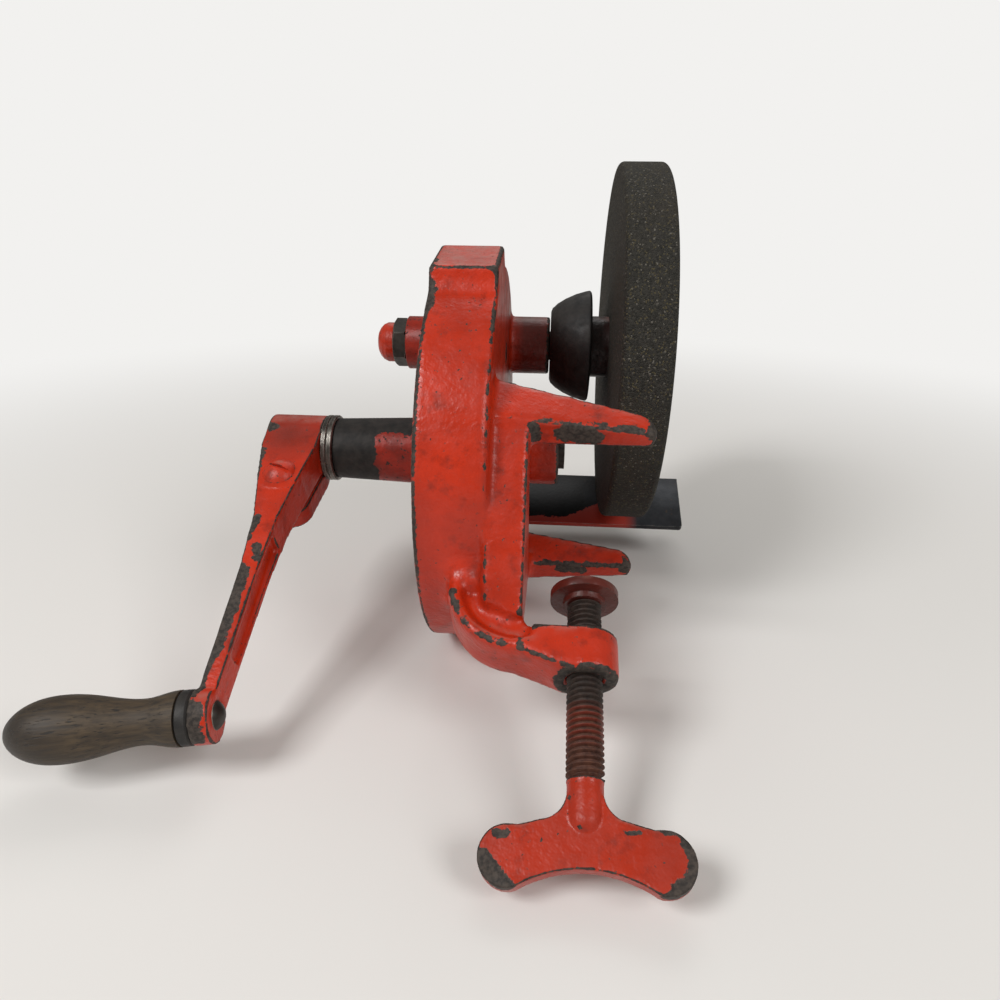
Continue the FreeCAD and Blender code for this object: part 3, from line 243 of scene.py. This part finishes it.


# %% [markdown]
# On the case, the fingers are bare at their tips and along their ridges, and the spindle's boss is
# painted a darker red as painted shade, since it lies in shadow. The right end of the crank boss is
# darker too. Each worn place is a point or a line in millimetres, a radius that is surely bare, and
# a soft border beyond it. A ball of 200 mm that only just reaches the screw boss is a flat border
# in disguise.

# %% Enamel of the case
CASE_WORN = (
    (((5, -45.5, 0.6), (39, -41.2, 0.8)), 0.0, 3.0),     # near finger's outer lower ridge
    (((40, -40, 2), (41, -38, 7)), 1.6, 3),              # near finger's tip
    (((12, -40, 0), (20, -38.5, 0)), 2.4, 3.2),          # near finger's underside
    (((1, -43, 0), (2, -38, 0)), 1.2, 1.8),              # near finger's root
    (((13, 36.5, 0), (21, 37, 0)), 1.6, 2.4),            # far finger's underside
    (((38, 36, 1), (40, 37, 6)), 1.6, 2.6),              # far finger's tip
    (((3, 34, 0.6), (36, 34, 0.8)), 0.0, 2.6),           # far finger's inner lower ridge
    ((20, 0, -267), 199.9, 0.7),                         # screw boss, only its flat underside
    (((-36, -63, 34), (-36, -66, 56)), 1.2, 2.4),        # drum's left edge, where the lug begins
)
# The spindle boss's darker red is painted shade: it lies in shadow.
SPINDLE_BOSS_SHADE, CRANK_BOSS = (0, 2, 98), (9, 10, 38)
case_enamel = cast_enamel("vermilion_enamel_on_cast_iron", worn=CASE_WORN,
                          dark=((SPINDLE_BOSS_SHADE, 14, 3), (CRANK_BOSS, 9, 5)))
print("worn places on the case:", len(CASE_WORN))

# %% [markdown]
# The arm has lost its paint down the left edge of its lower half, where it knocks against the
# bench, and on the eye. The wing's lobes are bare where fingers turn it.

# %% Enamel of the arm and the wing
ARM_WORN = (
    (((-99.3, -1, -34), (-99.6, 0, -62)), 3.2, 2.4),     # left edge, broad strip
    (((-99.8, 0, -60), (-99.4, 1, -82)), 1.4, 2.4),      # left edge, down to the eye
    (((-99, -1.5, -10), (-100.5, -1.2, -19)), 0.8, 2.2),  # left edge, short strip above it
    (((-95.5, -1, -22), (-94, -1, -27)), 0.4, 2.4),      # patch beside the hollow's upper end
    (((-98.5, -2, -85), (-98.5, 3, -90)), 3.2, 3.4),     # eye, on the grip's side
    ((-105.5, -2, 36), 1.2, 3),                          # hub's left end
    (((-106, -2, 24), (-104, -2, 2)), 0.4, 1.8),         # left edge, beside the slotted screw
)
WING_WORN = (
    (((47.5, -3, -112), (48.5, -3, -120)), 2.4, 2.0),    # right lobe's end
    (((48, -3, -120), (41, -3, -126)), 1.6, 2.2),        # right lobe's lower edge
    (((40, -4, -110), (47, -4, -111)), 0.4, 1.6),        # right lobe's upper edge
    (((-7.5, -1, -119), (0, -1, -127)), 1.8, 2.0),       # left lobe's lower edge
    (((-4, -1, -112.5), (-1, -1, -112.5)), 0.6, 1.6),    # left lobe, a small patch
    (((30, -3, -111), (34, -4, -111)), 0.1, 1.2),        # right lobe, a small patch
)
# The hub is a darker red around this point, fading out over 17 mm.
HUB_DARKER = (-98, 2, 33)
arm_enamel = cast_enamel("vermilion_enamel_on_crank", worn=ARM_WORN, dark=((HUB_DARKER, 2, 17),))
wing_enamel = cast_enamel("vermilion_enamel_on_wing", worn=WING_WORN, hue="AD2A0C", mid="9A260D")
small_enamel = cast_enamel("vermilion_enamel_on_small_parts", edge=0.7)
stained_enamel = cast_enamel("oil_stained_maroon_enamel", hue="2A0E0B", mid="1F0B09",
                             aged="150807", edge=0.7)
print("enamels:", len([m for m in bpy.data.materials if "enamel" in m.name]))

# %% [markdown]
# ## The crank sleeve
# The long sleeve on the cover has lost most of its enamel to greasy hands: black iron with red
# islands that thicken towards the case. The cover's plate is still red, so the mask runs along X.

# %% Enamel worn off the sleeve
def sleeve_enamel():
    material = empty_material("enamel_worn_to_black_iron")
    black = coat(material, patches(material, 3, 0.35, 0.65, 1.0), colour("151312"),
                 colour("2B2724"))
    red = coat(material, patches(material, 7, 0.4, 0.7, 2.0), colour("98220E"), colour("6A1A0F"))
    low = both(material, along(material, "Z", 38, 33), along(material, "X", -65, -61))
    ragged = both(material, both(material, low, 0.55),
                  both(material, patches(material, 4.5, 0.25, 0.75, 3.0), 0.45), "ADD")
    island = add(material, "ShaderNodeMapRange", {0: ragged, 1: 0.58, 2: 0.62}).outputs[0]
    on_plate = along(material, "X", -38, -37)
    above = along(material, "Z", 70, 80)
    painted = both(material, both(material, on_plate, above, "MAXIMUM"), island, "MAXIMUM")
    chips = patches(material, 1.8, 0.60, 0.64, 4.0)
    painted = both(material, painted, chips, "SUBTRACT")
    tint = coat(material, painted, black, red)
    rough = grade(material, painted, 0.6, 0.4)
    relief = both(material, both(material, patches(material, 2.2, 0.3, 0.7, 5.0, 2.0), 0.6),
                  both(material, painted, 0.3), "ADD")
    return surface(material, tint, rough, relief, 0.12, Specular_IOR_Level=0.3)


cover_enamel = sleeve_enamel()
print("sleeve finish:", cover_enamel.name)

# %% [markdown]
# ## Bare steels and iron
# Turned steel that has been handled and oiled for decades is grey-brown with brighter edges. The
# cup is blackened iron, nearly matt. They share one recipe: a dull colour, a bright worn edge, rust
# freckles and a fine grain.

# %% Dull steel
def dull_steel(name, body="4B4743", bright="9C968E", rust="4A2E22", metal=0.85, rusty=0.62,
               shine=0.36, edge=0.5):
    material = empty_material(name)
    tint = coat(material, patches(material, 5, 0.35, 0.7, 1.0), colour(body), colour("2E2A27"))
    tint = coat(material, patches(material, 2, rusty, rusty + 0.1, 2.0), tint, colour(rust))
    rub = both(material, edges(material, edge), patches(material, 3, 0.3, 0.6, 3.0))
    tint = coat(material, rub, tint, colour(bright))
    rough = grade(material, patches(material, 4, 0.3, 0.7, 4.0), shine, shine + 0.22)
    grain = patches(material, 0.5, 0.3, 0.7, 5.0, 2.0)
    return surface(material, tint, rough, grain, 0.03, Metallic=metal)


steel = dull_steel("oiled_turned_steel")
washer_steel = dull_steel("polished_thrust_steel", "7D7872", "D0CBC2", rusty=0.72, shine=0.22)
black_iron = dull_steel("blackened_iron", "0B0A0A", "242120", metal=0.1, rusty=0.74, shine=0.5,
                        edge=0.8)
gear_steel = dull_steel("greased_gear_steel", "6B665F", "B5AEA3", metal=1.0, rusty=0.8, shine=0.3)
bronze = dull_steel("oiled_bronze", "8A6232", "C79A5B", "5A3E1E", metal=1.0, rusty=0.7, shine=0.3)
lead = dull_steel("cast_lead", "6A6A6C", "85858A", "4C4C50", metal=0.6, rusty=0.6, shine=0.55)
print("metals:", steel.name, washer_steel.name, black_iron.name, gear_steel.name, bronze.name)

# %% [markdown]
# ## The clamp thread
# Black and greasy under its boss, then some turns that caught red overspray, then plain brown rust
# down to the wing. The bands are along Z and their borders are ragged. The overspray sits on the
# crests, which the distance to the screw's axis tells.

# %% Rust and overspray on the thread
SCREW_X = 20.0


def thread_rust():
    material = empty_material("rusty_thread_with_overspray")
    valley, top = 4.7, 5.2
    rust = coat(material, patches(material, 1.8, 0.35, 0.65, 1.0), colour("40241B"),
                colour("5F3A2B"))
    greasy = coat(material, patches(material, 1.5, 0.4, 0.7, 2.0), colour("221D1A"),
                  colour("3B332D"))
    ragged = both(material, patches(material, 4, 0.3, 0.7, 3.0), 0.25)
    high = both(material, along(material, "Z", -79, -75), ragged, "SUBTRACT")
    band = both(material, along(material, "Z", -90, -85), both(material, 1.0,
                along(material, "Z", -78, -75), "SUBTRACT"))
    from_axis = add(material, "ShaderNodeVectorMath",
                    {0: here(material), 1: (-SCREW_X * MM, 0.0, 0.0)}, operation="ADD")
    flat = add(material, "ShaderNodeVectorMath", {0: from_axis.outputs[0], 1: (1.0, 1.0, 0.0)},
               operation="MULTIPLY")
    radius = add(material, "ShaderNodeVectorMath", {0: flat.outputs[0]}, operation="LENGTH")
    crest = add(material, "ShaderNodeMapRange",
                {0: radius.outputs["Value"], 1: valley * MM, 2: top * MM}).outputs[0]
    sprayed = both(material, band, both(material, crest, both(material,
                   patches(material, 3, 0.25, 0.5, 4.0), 0.2, "ADD")))
    tint = coat(material, high, rust, greasy)
    tint = coat(material, both(material, sprayed, 0.6), tint, colour("7A2716"))
    rough = grade(material, sprayed, 0.62, 0.42)
    return surface(material, tint, rough, patches(material, 0.9, 0.3, 0.7, 5.0, 2.0), 0.08,
                   Metallic=0.25)


screw_rust = thread_rust()
pad_finish = cast_enamel("dull_red_paint_on_pad", hue="5A2118", mid="4A1D17", aged="33191A",
                         edge=1.0)
print("clamp finishes:", screw_rust.name, pad_finish.name)

# %% [markdown]
# ## Vitrified grit
# A grinding wheel is abrasive grain fired in a glassy bond, with pores between the grains. This one
# is a coarse dark grey, with olive, brown and light grains of about half a millimetre. The grains
# come from a Voronoi pattern, which gives each cell its own tint and a rounded bump.

# %% Grinding wheel grit
def vitrified_grit():
    material = empty_material("vitrified_grey_grit")
    grain = 0.55
    cells = add(material, "ShaderNodeTexVoronoi",
                {"Vector": here(material), "Scale": 1 / (grain * MM)})
    tone = add(material, "ShaderNodeSeparateColor", {0: cells.outputs["Color"]})
    tint = coat(material, grade(material, tone.outputs[0], 0.0, 1.0), colour("201F1B"),
                colour("35332E"))
    olive = add(material, "ShaderNodeMapRange", {0: tone.outputs[1], 1: 0.90, 2: 0.96}).outputs[0]
    tint = coat(material, olive, tint, colour("4A432F"))
    pale = add(material, "ShaderNodeMapRange", {0: tone.outputs[2], 1: 0.96, 2: 0.99}).outputs[0]
    tint = coat(material, pale, tint, colour("625E57"))
    worn = patches(material, 22, 0.45, 0.7, 1.0)
    tint = coat(material, both(material, worn, 0.35), tint, colour("3A3226"))
    relief = both(material, 1.0, add(material, "ShaderNodeMath",
                  {0: cells.outputs["Distance"], 1: 1.2}, operation="MULTIPLY").outputs[0],
                  "SUBTRACT")
    return surface(material, tint, 0.88, relief, 0.35, Specular_IOR_Level=0.3)


wheel_grit = vitrified_grit()
print("wheel finish:", wheel_grit.name)

# %% [markdown]
# ## Weathered beech
# Turned beech, once oiled, now grey-brown with dark open pores along the grain and a nearly black,
# hand-stained end. The grip leans 9 degrees, so the pattern is turned to run along it, and it is
# stretched twelve times along the grain.

# %% Grip wood
def weathered_beech():
    material = empty_material("weathered_beech")
    turned = add(material, "ShaderNodeMapping",
                 {"Vector": here(material), "Location": (0.083, -0.0065, 0.096),
                  "Rotation": (0.0, math.radians(9), 0.0)})
    grain = add(material, "ShaderNodeMapping",
                {"Vector": turned.outputs[0], "Scale": (0.08, 1.0, 1.0)})
    streaks = add(material, "ShaderNodeTexNoise",
                  {"Vector": grain.outputs[0], "Scale": 1 / (1.3 * MM), "Detail": 5.0,
                   "Roughness": 0.65})
    pores = add(material, "ShaderNodeTexNoise",
                {"Vector": grain.outputs[0], "Scale": 1 / (0.55 * MM), "Detail": 2.0})
    light = add(material, "ShaderNodeMapRange", {0: streaks.outputs["Fac"], 1: 0.35, 2: 0.68})
    tint = coat(material, light.outputs[0], colour("2A2117"), colour("4C3D2A"))
    pore = add(material, "ShaderNodeMapRange", {0: pores.outputs["Fac"], 1: 0.60, 2: 0.68})
    tint = coat(material, pore.outputs[0], tint, colour("1B140D"))
    end = both(material, along(material, "X", -132, -150), both(material,
               patches(material, 14, 0.3, 0.7, 1.0), 0.35, "ADD"))
    tint = coat(material, both(material, end, 0.75), tint, colour("1A130E"))
    rough = grade(material, end, 0.62, 0.5)
    relief = both(material, streaks.outputs["Fac"], both(material, pore.outputs[0], 0.6),
                  "SUBTRACT")
    return surface(material, tint, rough, relief, 0.12)


beech = weathered_beech()
print("grip finish:", beech.name)

# %% [markdown]
# ## Gunmetal plate
# The tool rest is dark blue-grey plate, with what is left of red paint low along its left end. The
# paint's upper edge is a ragged slope, so the mask is a height in metres that changes along X.

# %% Tool rest plate
def gunmetal_plate():
    material = empty_material("gunmetal_plate_with_paint_remnant")
    peak_x, slope_run, peak_z, foot_z = 0.036, 0.022, 0.0735, 0.0625
    plate = coat(material, patches(material, 9, 0.35, 0.7, 1.0), colour("2B2D31"),
                 colour("414347"))
    plate = coat(material, patches(material, 2.2, 0.62, 0.72, 2.0), plate, colour("4F4238"))
    # The left end is darkened to nearly black: painted shade, where the plate lies in shadow.
    shade = both(material, along(material, "X", 42, 24), 0.9)
    plate = coat(material, shade, plate, colour("0E0D0D"))
    split = add(material, "ShaderNodeSeparateXYZ", {0: here(material)})
    peak = add(material, "ShaderNodeMath", {0: split.outputs["X"], 1: peak_x},
               operation="SUBTRACT")
    away = add(material, "ShaderNodeMath", {0: peak.outputs[0]}, operation="ABSOLUTE")
    top = add(material, "ShaderNodeMapRange",
              {0: away.outputs[0], 1: 0.0, 2: slope_run, 3: peak_z, 4: foot_z})
    wave = add(material, "ShaderNodeMath",
               {0: patches(material, 6, 0.2, 0.8, 3.0), 1: 0.006}, operation="MULTIPLY")
    limit = add(material, "ShaderNodeMath", {0: top.outputs[0], 1: wave.outputs[0]},
                operation="ADD")
    under = add(material, "ShaderNodeMath", {0: limit.outputs[0], 1: split.outputs["Z"]},
                operation="SUBTRACT")
    painted = add(material, "ShaderNodeMapRange", {0: under.outputs[0], 1: 0.003, 2: 0.0036})
    left = along(material, "X", 52, 46)
    mask = both(material, painted.outputs[0], left)
    tint = coat(material, mask, plate, colour("A02A18"))
    rub = both(material, edges(material, 0.5), patches(material, 4, 0.35, 0.6, 4.0))
    tint = coat(material, rub, tint, colour("8A857E"))
    rough = grade(material, mask, 0.42, 0.5)
    metal = grade(material, mask, 0.7, 0.0)
    return surface(material, tint, rough, patches(material, 1.4, 0.3, 0.7, 5.0, 2.0), 0.04,
                   Metallic=metal)


rest_plate = gunmetal_plate()
print("materials:", len(bpy.data.materials))

# %% [markdown]
# ## Solids that keep their shape
# Turned pins, nuts, washers and gears are already right as solids. They keep their meshes and only
# get their finish, in the material slot that the solid came with.

# %% Finish the solids
FINISHES = {
    "gear_case": case_enamel, "side_cover": cover_enamel, "cover_screws": steel,
    "spindle_bush": bronze, "tail_bush": bronze, "end_plug": small_enamel, "lock_nut": steel,
    "idler_stud": steel, "idler_gear": gear_steel, "crank_shaft": steel,
    "crank_gear": gear_steel, "thrust_washers": washer_steel, "crank_arm": arm_enamel,
    "pinch_screw": small_enamel, "grip_pin": steel, "grip_ferrule": black_iron,
    "wooden_grip": beech, "spindle": steel, "spindle_pinion": gear_steel,
    "dust_cup": black_iron, "wheel_collar": stained_enamel, "grinding_wheel": wheel_grit,
    "wheel_bush": lead, "outer_washer": steel, "wheel_nut": steel, "clamp_screw": screw_rust,
    "clamp_pad": pad_finish, "tool_rest": rest_plate, "rest_bolts": steel,
    "rest_washers": steel,
}


def give(piece, material):
    piece.data.materials.clear()
    piece.data.materials.append(material)


for name, material in FINISHES.items():
    give(nodes[name], material)
print("solids finished:", len(FINISHES))

# %% [markdown]
# ## Castings
# Sand castings have no sharp edges: every corner is rounded and every inner corner filled. The
# solids have them sharp, so we take a copy, merge its loose triangles, remesh it finely and relax
# it, which rounds outer corners and fills inner ones in one go.

# %% A copy of a solid to work on
def only(piece):
    """Makes one object the only selected one, and active."""
    bpy.ops.object.select_all(action="DESELECT")
    piece.select_set(True)
    bpy.context.view_layer.objects.active = piece


def copy_of(name, new_name):
    piece = nodes[name].copy()
    piece.data = nodes[name].data.copy()
    for key in list(piece.keys()):
        del piece[key]
    piece.parent = None
    piece.name = new_name
    piece.data.name = new_name
    bpy.context.scene.collection.objects.link(piece)
    only(piece)
    bpy.ops.object.mode_set(mode="EDIT")
    bpy.ops.mesh.select_all(action="SELECT")
    bpy.ops.mesh.remove_doubles(threshold=0.002 * MM)
    bpy.ops.object.mode_set(mode="OBJECT")
    return piece


def apply(piece, kind, **settings):
    """Adds a modifier with its settings and applies it."""
    only(piece)
    modifier = piece.modifiers.new(kind.lower(), kind)
    for name, value in settings.items():
        setattr(modifier, name, value)
    bpy.ops.object.modifier_apply(modifier=modifier.name)


def cast_round(piece, voxel, rounds, *softer):
    """Rounds a piece as a sand casting is: remeshed at voxel mm and relaxed.

    Each of softer is (which points, rounds): more rounds where fillets are wide.
    """
    apply(piece, "REMESH", mode="VOXEL", voxel_size=voxel * MM, use_smooth_shade=True)
    apply(piece, "SMOOTH", factor=0.5, iterations=rounds)
    for chosen, more in softer:
        group = piece.vertex_groups.new(name="softer")
        group.add([v.index for v in piece.data.vertices if chosen(v.co / MM)], 1.0, "REPLACE")
        apply(piece, "SMOOTH", factor=0.5, iterations=more, vertex_group="softer")
        piece.vertex_groups.clear()
    only(piece)
    bpy.ops.object.shade_smooth()
    print(piece.name, "faces:", len(piece.data.polygons))


# %% [markdown]
# A small voxel keeps more of the shape and makes a heavier mesh, so the big case gets a coarser one
# than the arm. The case's fillets aren't all alike: they are widest where the frame and the arm meet
# the drum, and in the hollow of the arm's bend. Those regions get more rounds than the rest.

# %% Case, crank arm and their finish
CRANK_Y, CRANK_Z, BOSS_KEPT = 10.5, 38.0, 13.5
DRUM_RIGHT, DRUM_LOW = -12.6, -36.0
CORNER, FRAME_TOP = 1.9, 24.0
BEND_HALF = 13.5
LIP_LOW, LIP_HIGH = DRUM_LOW - 5, DRUM_LOW + 7


def frame_and_arm(place):
    """The wall under the fingers, the screw arm and where they meet the drum."""
    clear_of_boss = math.hypot(place.y - CRANK_Y, place.z - CRANK_Z) > BOSS_KEPT
    beside_drum = place.x > DRUM_RIGHT - CORNER or place.z < DRUM_LOW
    return clear_of_boss and place.z < FRAME_TOP and beside_drum


def pocket(place):
    """The hollow in the arm's bend and its lip on the drum."""
    return place.z < LIP_HIGH and -34 < place.x < -1.5 and abs(place.y) < BEND_HALF


def lip(place):
    """Only the hollow's upper end, where it runs out on the drum."""
    in_height = LIP_LOW < place.z < LIP_HIGH
    return in_height and -33 < place.x < -13 and abs(place.y) < BEND_HALF


case = copy_of("gear_case", "case_casting")
cast_round(case, 1.15, 1, (frame_and_arm, 10), (pocket, 20), (lip, 50))
give(case, case_enamel)
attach(case, "frame")
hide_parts("gear_case")

arm = copy_of("crank_arm", "crank_casting")
cast_round(arm, 0.55, 3)
give(arm, arm_enamel)
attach(arm, "crank")
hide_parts("crank_arm")

# %% [markdown]
# ## Turned and plate pieces
# Steel that was turned or sheared has small, even broken edges, so a bevel is the right tool for
# them. It runs only on edges sharper than 30 degrees.

# %% Broken edges
def broken_edges(name, new_name, body, width, material):
    """A copy of a solid with its sharp edges bevelled by width mm, in the solid's place."""
    piece = copy_of(name, new_name)
    apply(piece, "BEVEL", width=width * MM, segments=2, limit_method="ANGLE",
          angle_limit=math.radians(30))
    only(piece)
    bpy.ops.object.shade_smooth_by_angle(angle=math.radians(35))
    give(piece, material)
    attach(piece, body)
    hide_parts(name)
    print(new_name, "faces:", len(piece.data.polygons))


broken_edges("side_cover", "cover_with_sleeve", "frame", 0.5, cover_enamel)
broken_edges("dust_cup", "dished_cup", "spindle", 0.3, black_iron)
broken_edges("tool_rest", "rest_plate", "rest", 0.35, rest_plate)
broken_edges("clamp_pad", "swivel_pad", "pad", 0.6, pad_finish)

# %% [markdown]
# ## The clamp screw
# The thread is a real helix: a single tooth outline of one pitch, swept round the screw's axis by
# the Screw modifier for as many turns as fit between its two ends.

# %% Thread
PITCH = 1.814
THREAD_LOW, THREAD_TOP = -97.6, -41.3
CREST_R, ROOT_R = 5.55, 4.55


def thread(material):
    """One tooth's outline, swept round the screw's axis and up by a pitch each turn."""
    turns = int((THREAD_TOP - THREAD_LOW) / PITCH)
    bpy.ops.object.select_all(action="DESELECT")
    bpy.ops.object.add(type="MESH", location=(0, 0, 0))
    piece = bpy.context.active_object
    piece.name = "clamp_thread"
    mesh = piece.data
    mesh.name = "clamp_thread"
    shares = ((0.0, ROOT_R), (0.12, ROOT_R), (0.42, CREST_R), (0.58, CREST_R), (0.88, ROOT_R),
              (1.0, ROOT_R))
    points = [(r * MM, 0.0, share * PITCH * MM) for share, r in shares]
    mesh.from_pydata(points, [(k, k + 1) for k in range(len(points) - 1)], [])
    apply(piece, "SCREW", axis="Z", angle=2 * math.pi, screw_offset=PITCH * MM,
          iterations=turns, steps=40, render_steps=40, use_merge_vertices=True,
          merge_threshold=0.004 * MM, use_smooth_shade=True)
    only(piece)
    bpy.ops.object.mode_set(mode="EDIT")
    bpy.ops.mesh.select_all(action="SELECT")
    bpy.ops.mesh.remove_doubles(threshold=0.004 * MM)
    bpy.ops.transform.translate(value=(SCREW_X * MM, 0, THREAD_LOW * MM))
    bpy.ops.mesh.normals_make_consistent(inside=False)
    bpy.ops.object.mode_set(mode="OBJECT")
    bpy.ops.object.shade_smooth_by_angle(angle=math.radians(35))
    give(piece, material)
    print("thread turns:", turns, "faces:", len(piece.data.polygons))
    return piece


screw = thread(screw_rust)
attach(screw, "screw")

# %% [markdown]
# The wing below is a casting, cut from the solid's lower end, where the thread stops. The thread is
# a thin skin, so the rod's own solid stands inside it as a core, thinned to lie under the roots.

# %% Wing and core
WING_BELOW, CORE_ABOVE = -140.0, -30.0
WING_OVERLAP = 0.4
CORE_SHARE = 0.80


def part_of_screw(name, low, top):
    """The clamp screw's solid between two heights in mm, with closed ends."""
    piece = copy_of("clamp_screw", name)
    bpy.ops.object.mode_set(mode="EDIT")
    for height, keep_above in ((low, True), (top, False)):
        bpy.ops.mesh.select_all(action="SELECT")
        bpy.ops.mesh.bisect(plane_co=(0, 0, height * MM), plane_no=(0, 0, 1), use_fill=True,
                            clear_inner=keep_above, clear_outer=not keep_above)
    bpy.ops.object.mode_set(mode="OBJECT")
    return piece


wing = part_of_screw("wing_casting", WING_BELOW, THREAD_LOW + WING_OVERLAP)
cast_round(wing, 0.42, 6)
give(wing, wing_enamel)
core = part_of_screw("thread_core", THREAD_LOW, CORE_ABOVE)
only(core)
bpy.ops.object.mode_set(mode="EDIT")
bpy.ops.mesh.select_all(action="SELECT")
bpy.ops.transform.resize(value=(CORE_SHARE, CORE_SHARE, 1.0), center_override=(SCREW_X * MM, 0, 0))
bpy.ops.object.mode_set(mode="OBJECT")
give(core, screw_rust)
for piece in (wing, core):
    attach(piece, "screw")
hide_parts("clamp_screw")
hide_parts("clamp_screw")
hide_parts("clamp_screw")
print(core.name, "faces:", len(core.data.polygons))

# %% [markdown]
# ## Stage
# The grinder lies on its side, on the case's rim and the tool rest, so the floor is tilted in this
# frame. It is pale, fades to the background's colour in the distance, and shows only from above:
# from below it is see-through, so that other views aren't blocked.

# %% Floor
FLOOR_TURN = math.radians(63)
FLOOR_SIZE, FLOOR_GAP = 8.0, 0.0004
FADE_FROM, FADE_TO = 0.2, 0.75
up = Vector((0, -math.sin(FLOOR_TURN), math.cos(FLOOR_TURN)))
lowest = min(vertex.co.dot(up) for piece in nodes.values() for vertex in piece.data.vertices)
bpy.ops.object.select_all(action="DESELECT")
bpy.ops.mesh.primitive_plane_add(size=FLOOR_SIZE, location=up * (lowest - FLOOR_GAP),
                                 rotation=(FLOOR_TURN, 0, 0))
floor = bpy.context.active_object
floor.name = "floor"
pale = empty_material("pale_floor")
matt = add(pale, "ShaderNodeBsdfDiffuse", {"Color": colour("E4E2DF")})
far = add(pale, "ShaderNodeVectorMath",
          {0: add(pale, "ShaderNodeNewGeometry").outputs["Position"]}, operation="LENGTH")
fade = add(pale, "ShaderNodeMapRange", {0: far.outputs["Value"], 1: FADE_FROM, 2: FADE_TO},
           interpolation_type="SMOOTHSTEP")
seen_here = both(pale, fade.outputs[0], add(pale, "ShaderNodeLightPath").outputs["Is Camera Ray"])
horizon = add(pale, "ShaderNodeEmission", {"Color": colour("F2F1EF")})
blended = add(pale, "ShaderNodeMixShader",
              {0: seen_here, 1: matt.outputs[0], 2: horizon.outputs[0]})
clear = add(pale, "ShaderNodeBsdfTransparent")
side = add(pale, "ShaderNodeNewGeometry")
mixed = add(pale, "ShaderNodeMixShader",
            {0: side.outputs["Backfacing"], 1: blended.outputs[0], 2: clear.outputs[0]})
add(pale, "ShaderNodeOutputMaterial", {"Surface": mixed.outputs[0]})
give(floor, pale)
print("floor is", round(lowest / MM, 1), "mm along its normal")

# %% [markdown]
# Plain soft light: a large key lamp above and left of the camera, a weaker one to the right, a faint
# one behind the grinder, and a pale world that fills the shadows and shows in the metal.

# %% Lamps and world
MIDDLE = Vector((-0.03, 0.01, 0.03))
TO_VIEWER = Vector((0, -math.cos(FLOOR_TURN), -math.sin(FLOOR_TURN)))


def lamp(name, right, toward, above, size, power):
    """An area lamp aimed at the grinder; its place is right, toward the viewer and up, in m."""
    place = MIDDLE + Vector((right, 0, 0)) + TO_VIEWER * toward + up * above
    bpy.ops.object.light_add(type="AREA", location=place)
    light = bpy.context.active_object
    light.name = name
    light.rotation_euler = (MIDDLE - place).to_track_quat("-Z", "Y").to_euler()
    light.data.size = size
    light.data.energy = power


lamp("key_lamp", -0.7, 0.7, 0.95, 0.45, 11)
lamp("fill_lamp", 0.8, 0.7, 0.8, 0.5, 6)
lamp("back_lamp", 0.1, -0.9, 1.1, 0.8, 3.3)

world = bpy.data.worlds.new("pale_world")
bpy.context.scene.world = world
world.use_nodes = True
world.node_tree.nodes.clear()
ray = add(world, "ShaderNodeLightPath")
seen = add(world, "ShaderNodeBackground", {"Color": colour("F2F1EF"), "Strength": 1.0})
fill = add(world, "ShaderNodeBackground", {"Color": colour("F3EEE6"), "Strength": 0.30})
shown = add(world, "ShaderNodeMath", {0: ray.outputs["Is Camera Ray"],
                                      1: ray.outputs["Is Transmission Ray"]}, operation="MAXIMUM")
pick = add(world, "ShaderNodeMixShader",
           {0: shown.outputs[0], 1: fill.outputs[0], 2: seen.outputs[0]})
add(world, "ShaderNodeOutputWorld", {"Surface": pick.outputs[0]})
print("lamps:", len(bpy.data.lights))

# %% [markdown]
# The camera was found by matching about fifty outlines of the solids with the photograph: a wide
# phone lens, close, looking down on the clamp side.

# %% Camera
CAMERA_PLACE = (0.006138, -0.207763, -0.168874)
CAMERA_TURN = (129.8031, -3.9572, 1.4022)
FILM_WIDTH, FOCAL_LENGTH = 36.0, 26.27
bpy.ops.object.camera_add(location=CAMERA_PLACE)
camera = bpy.context.active_object
camera.rotation_euler = [math.radians(v) for v in CAMERA_TURN]
camera.data.sensor_width = FILM_WIDTH
camera.data.lens = FOCAL_LENGTH
camera.data.clip_start = 0.01
bpy.context.scene.camera = camera
bpy.context.scene.view_settings.view_transform = "Standard"
print("camera is", round(Vector(CAMERA_PLACE).length, 3), "m from the origin")
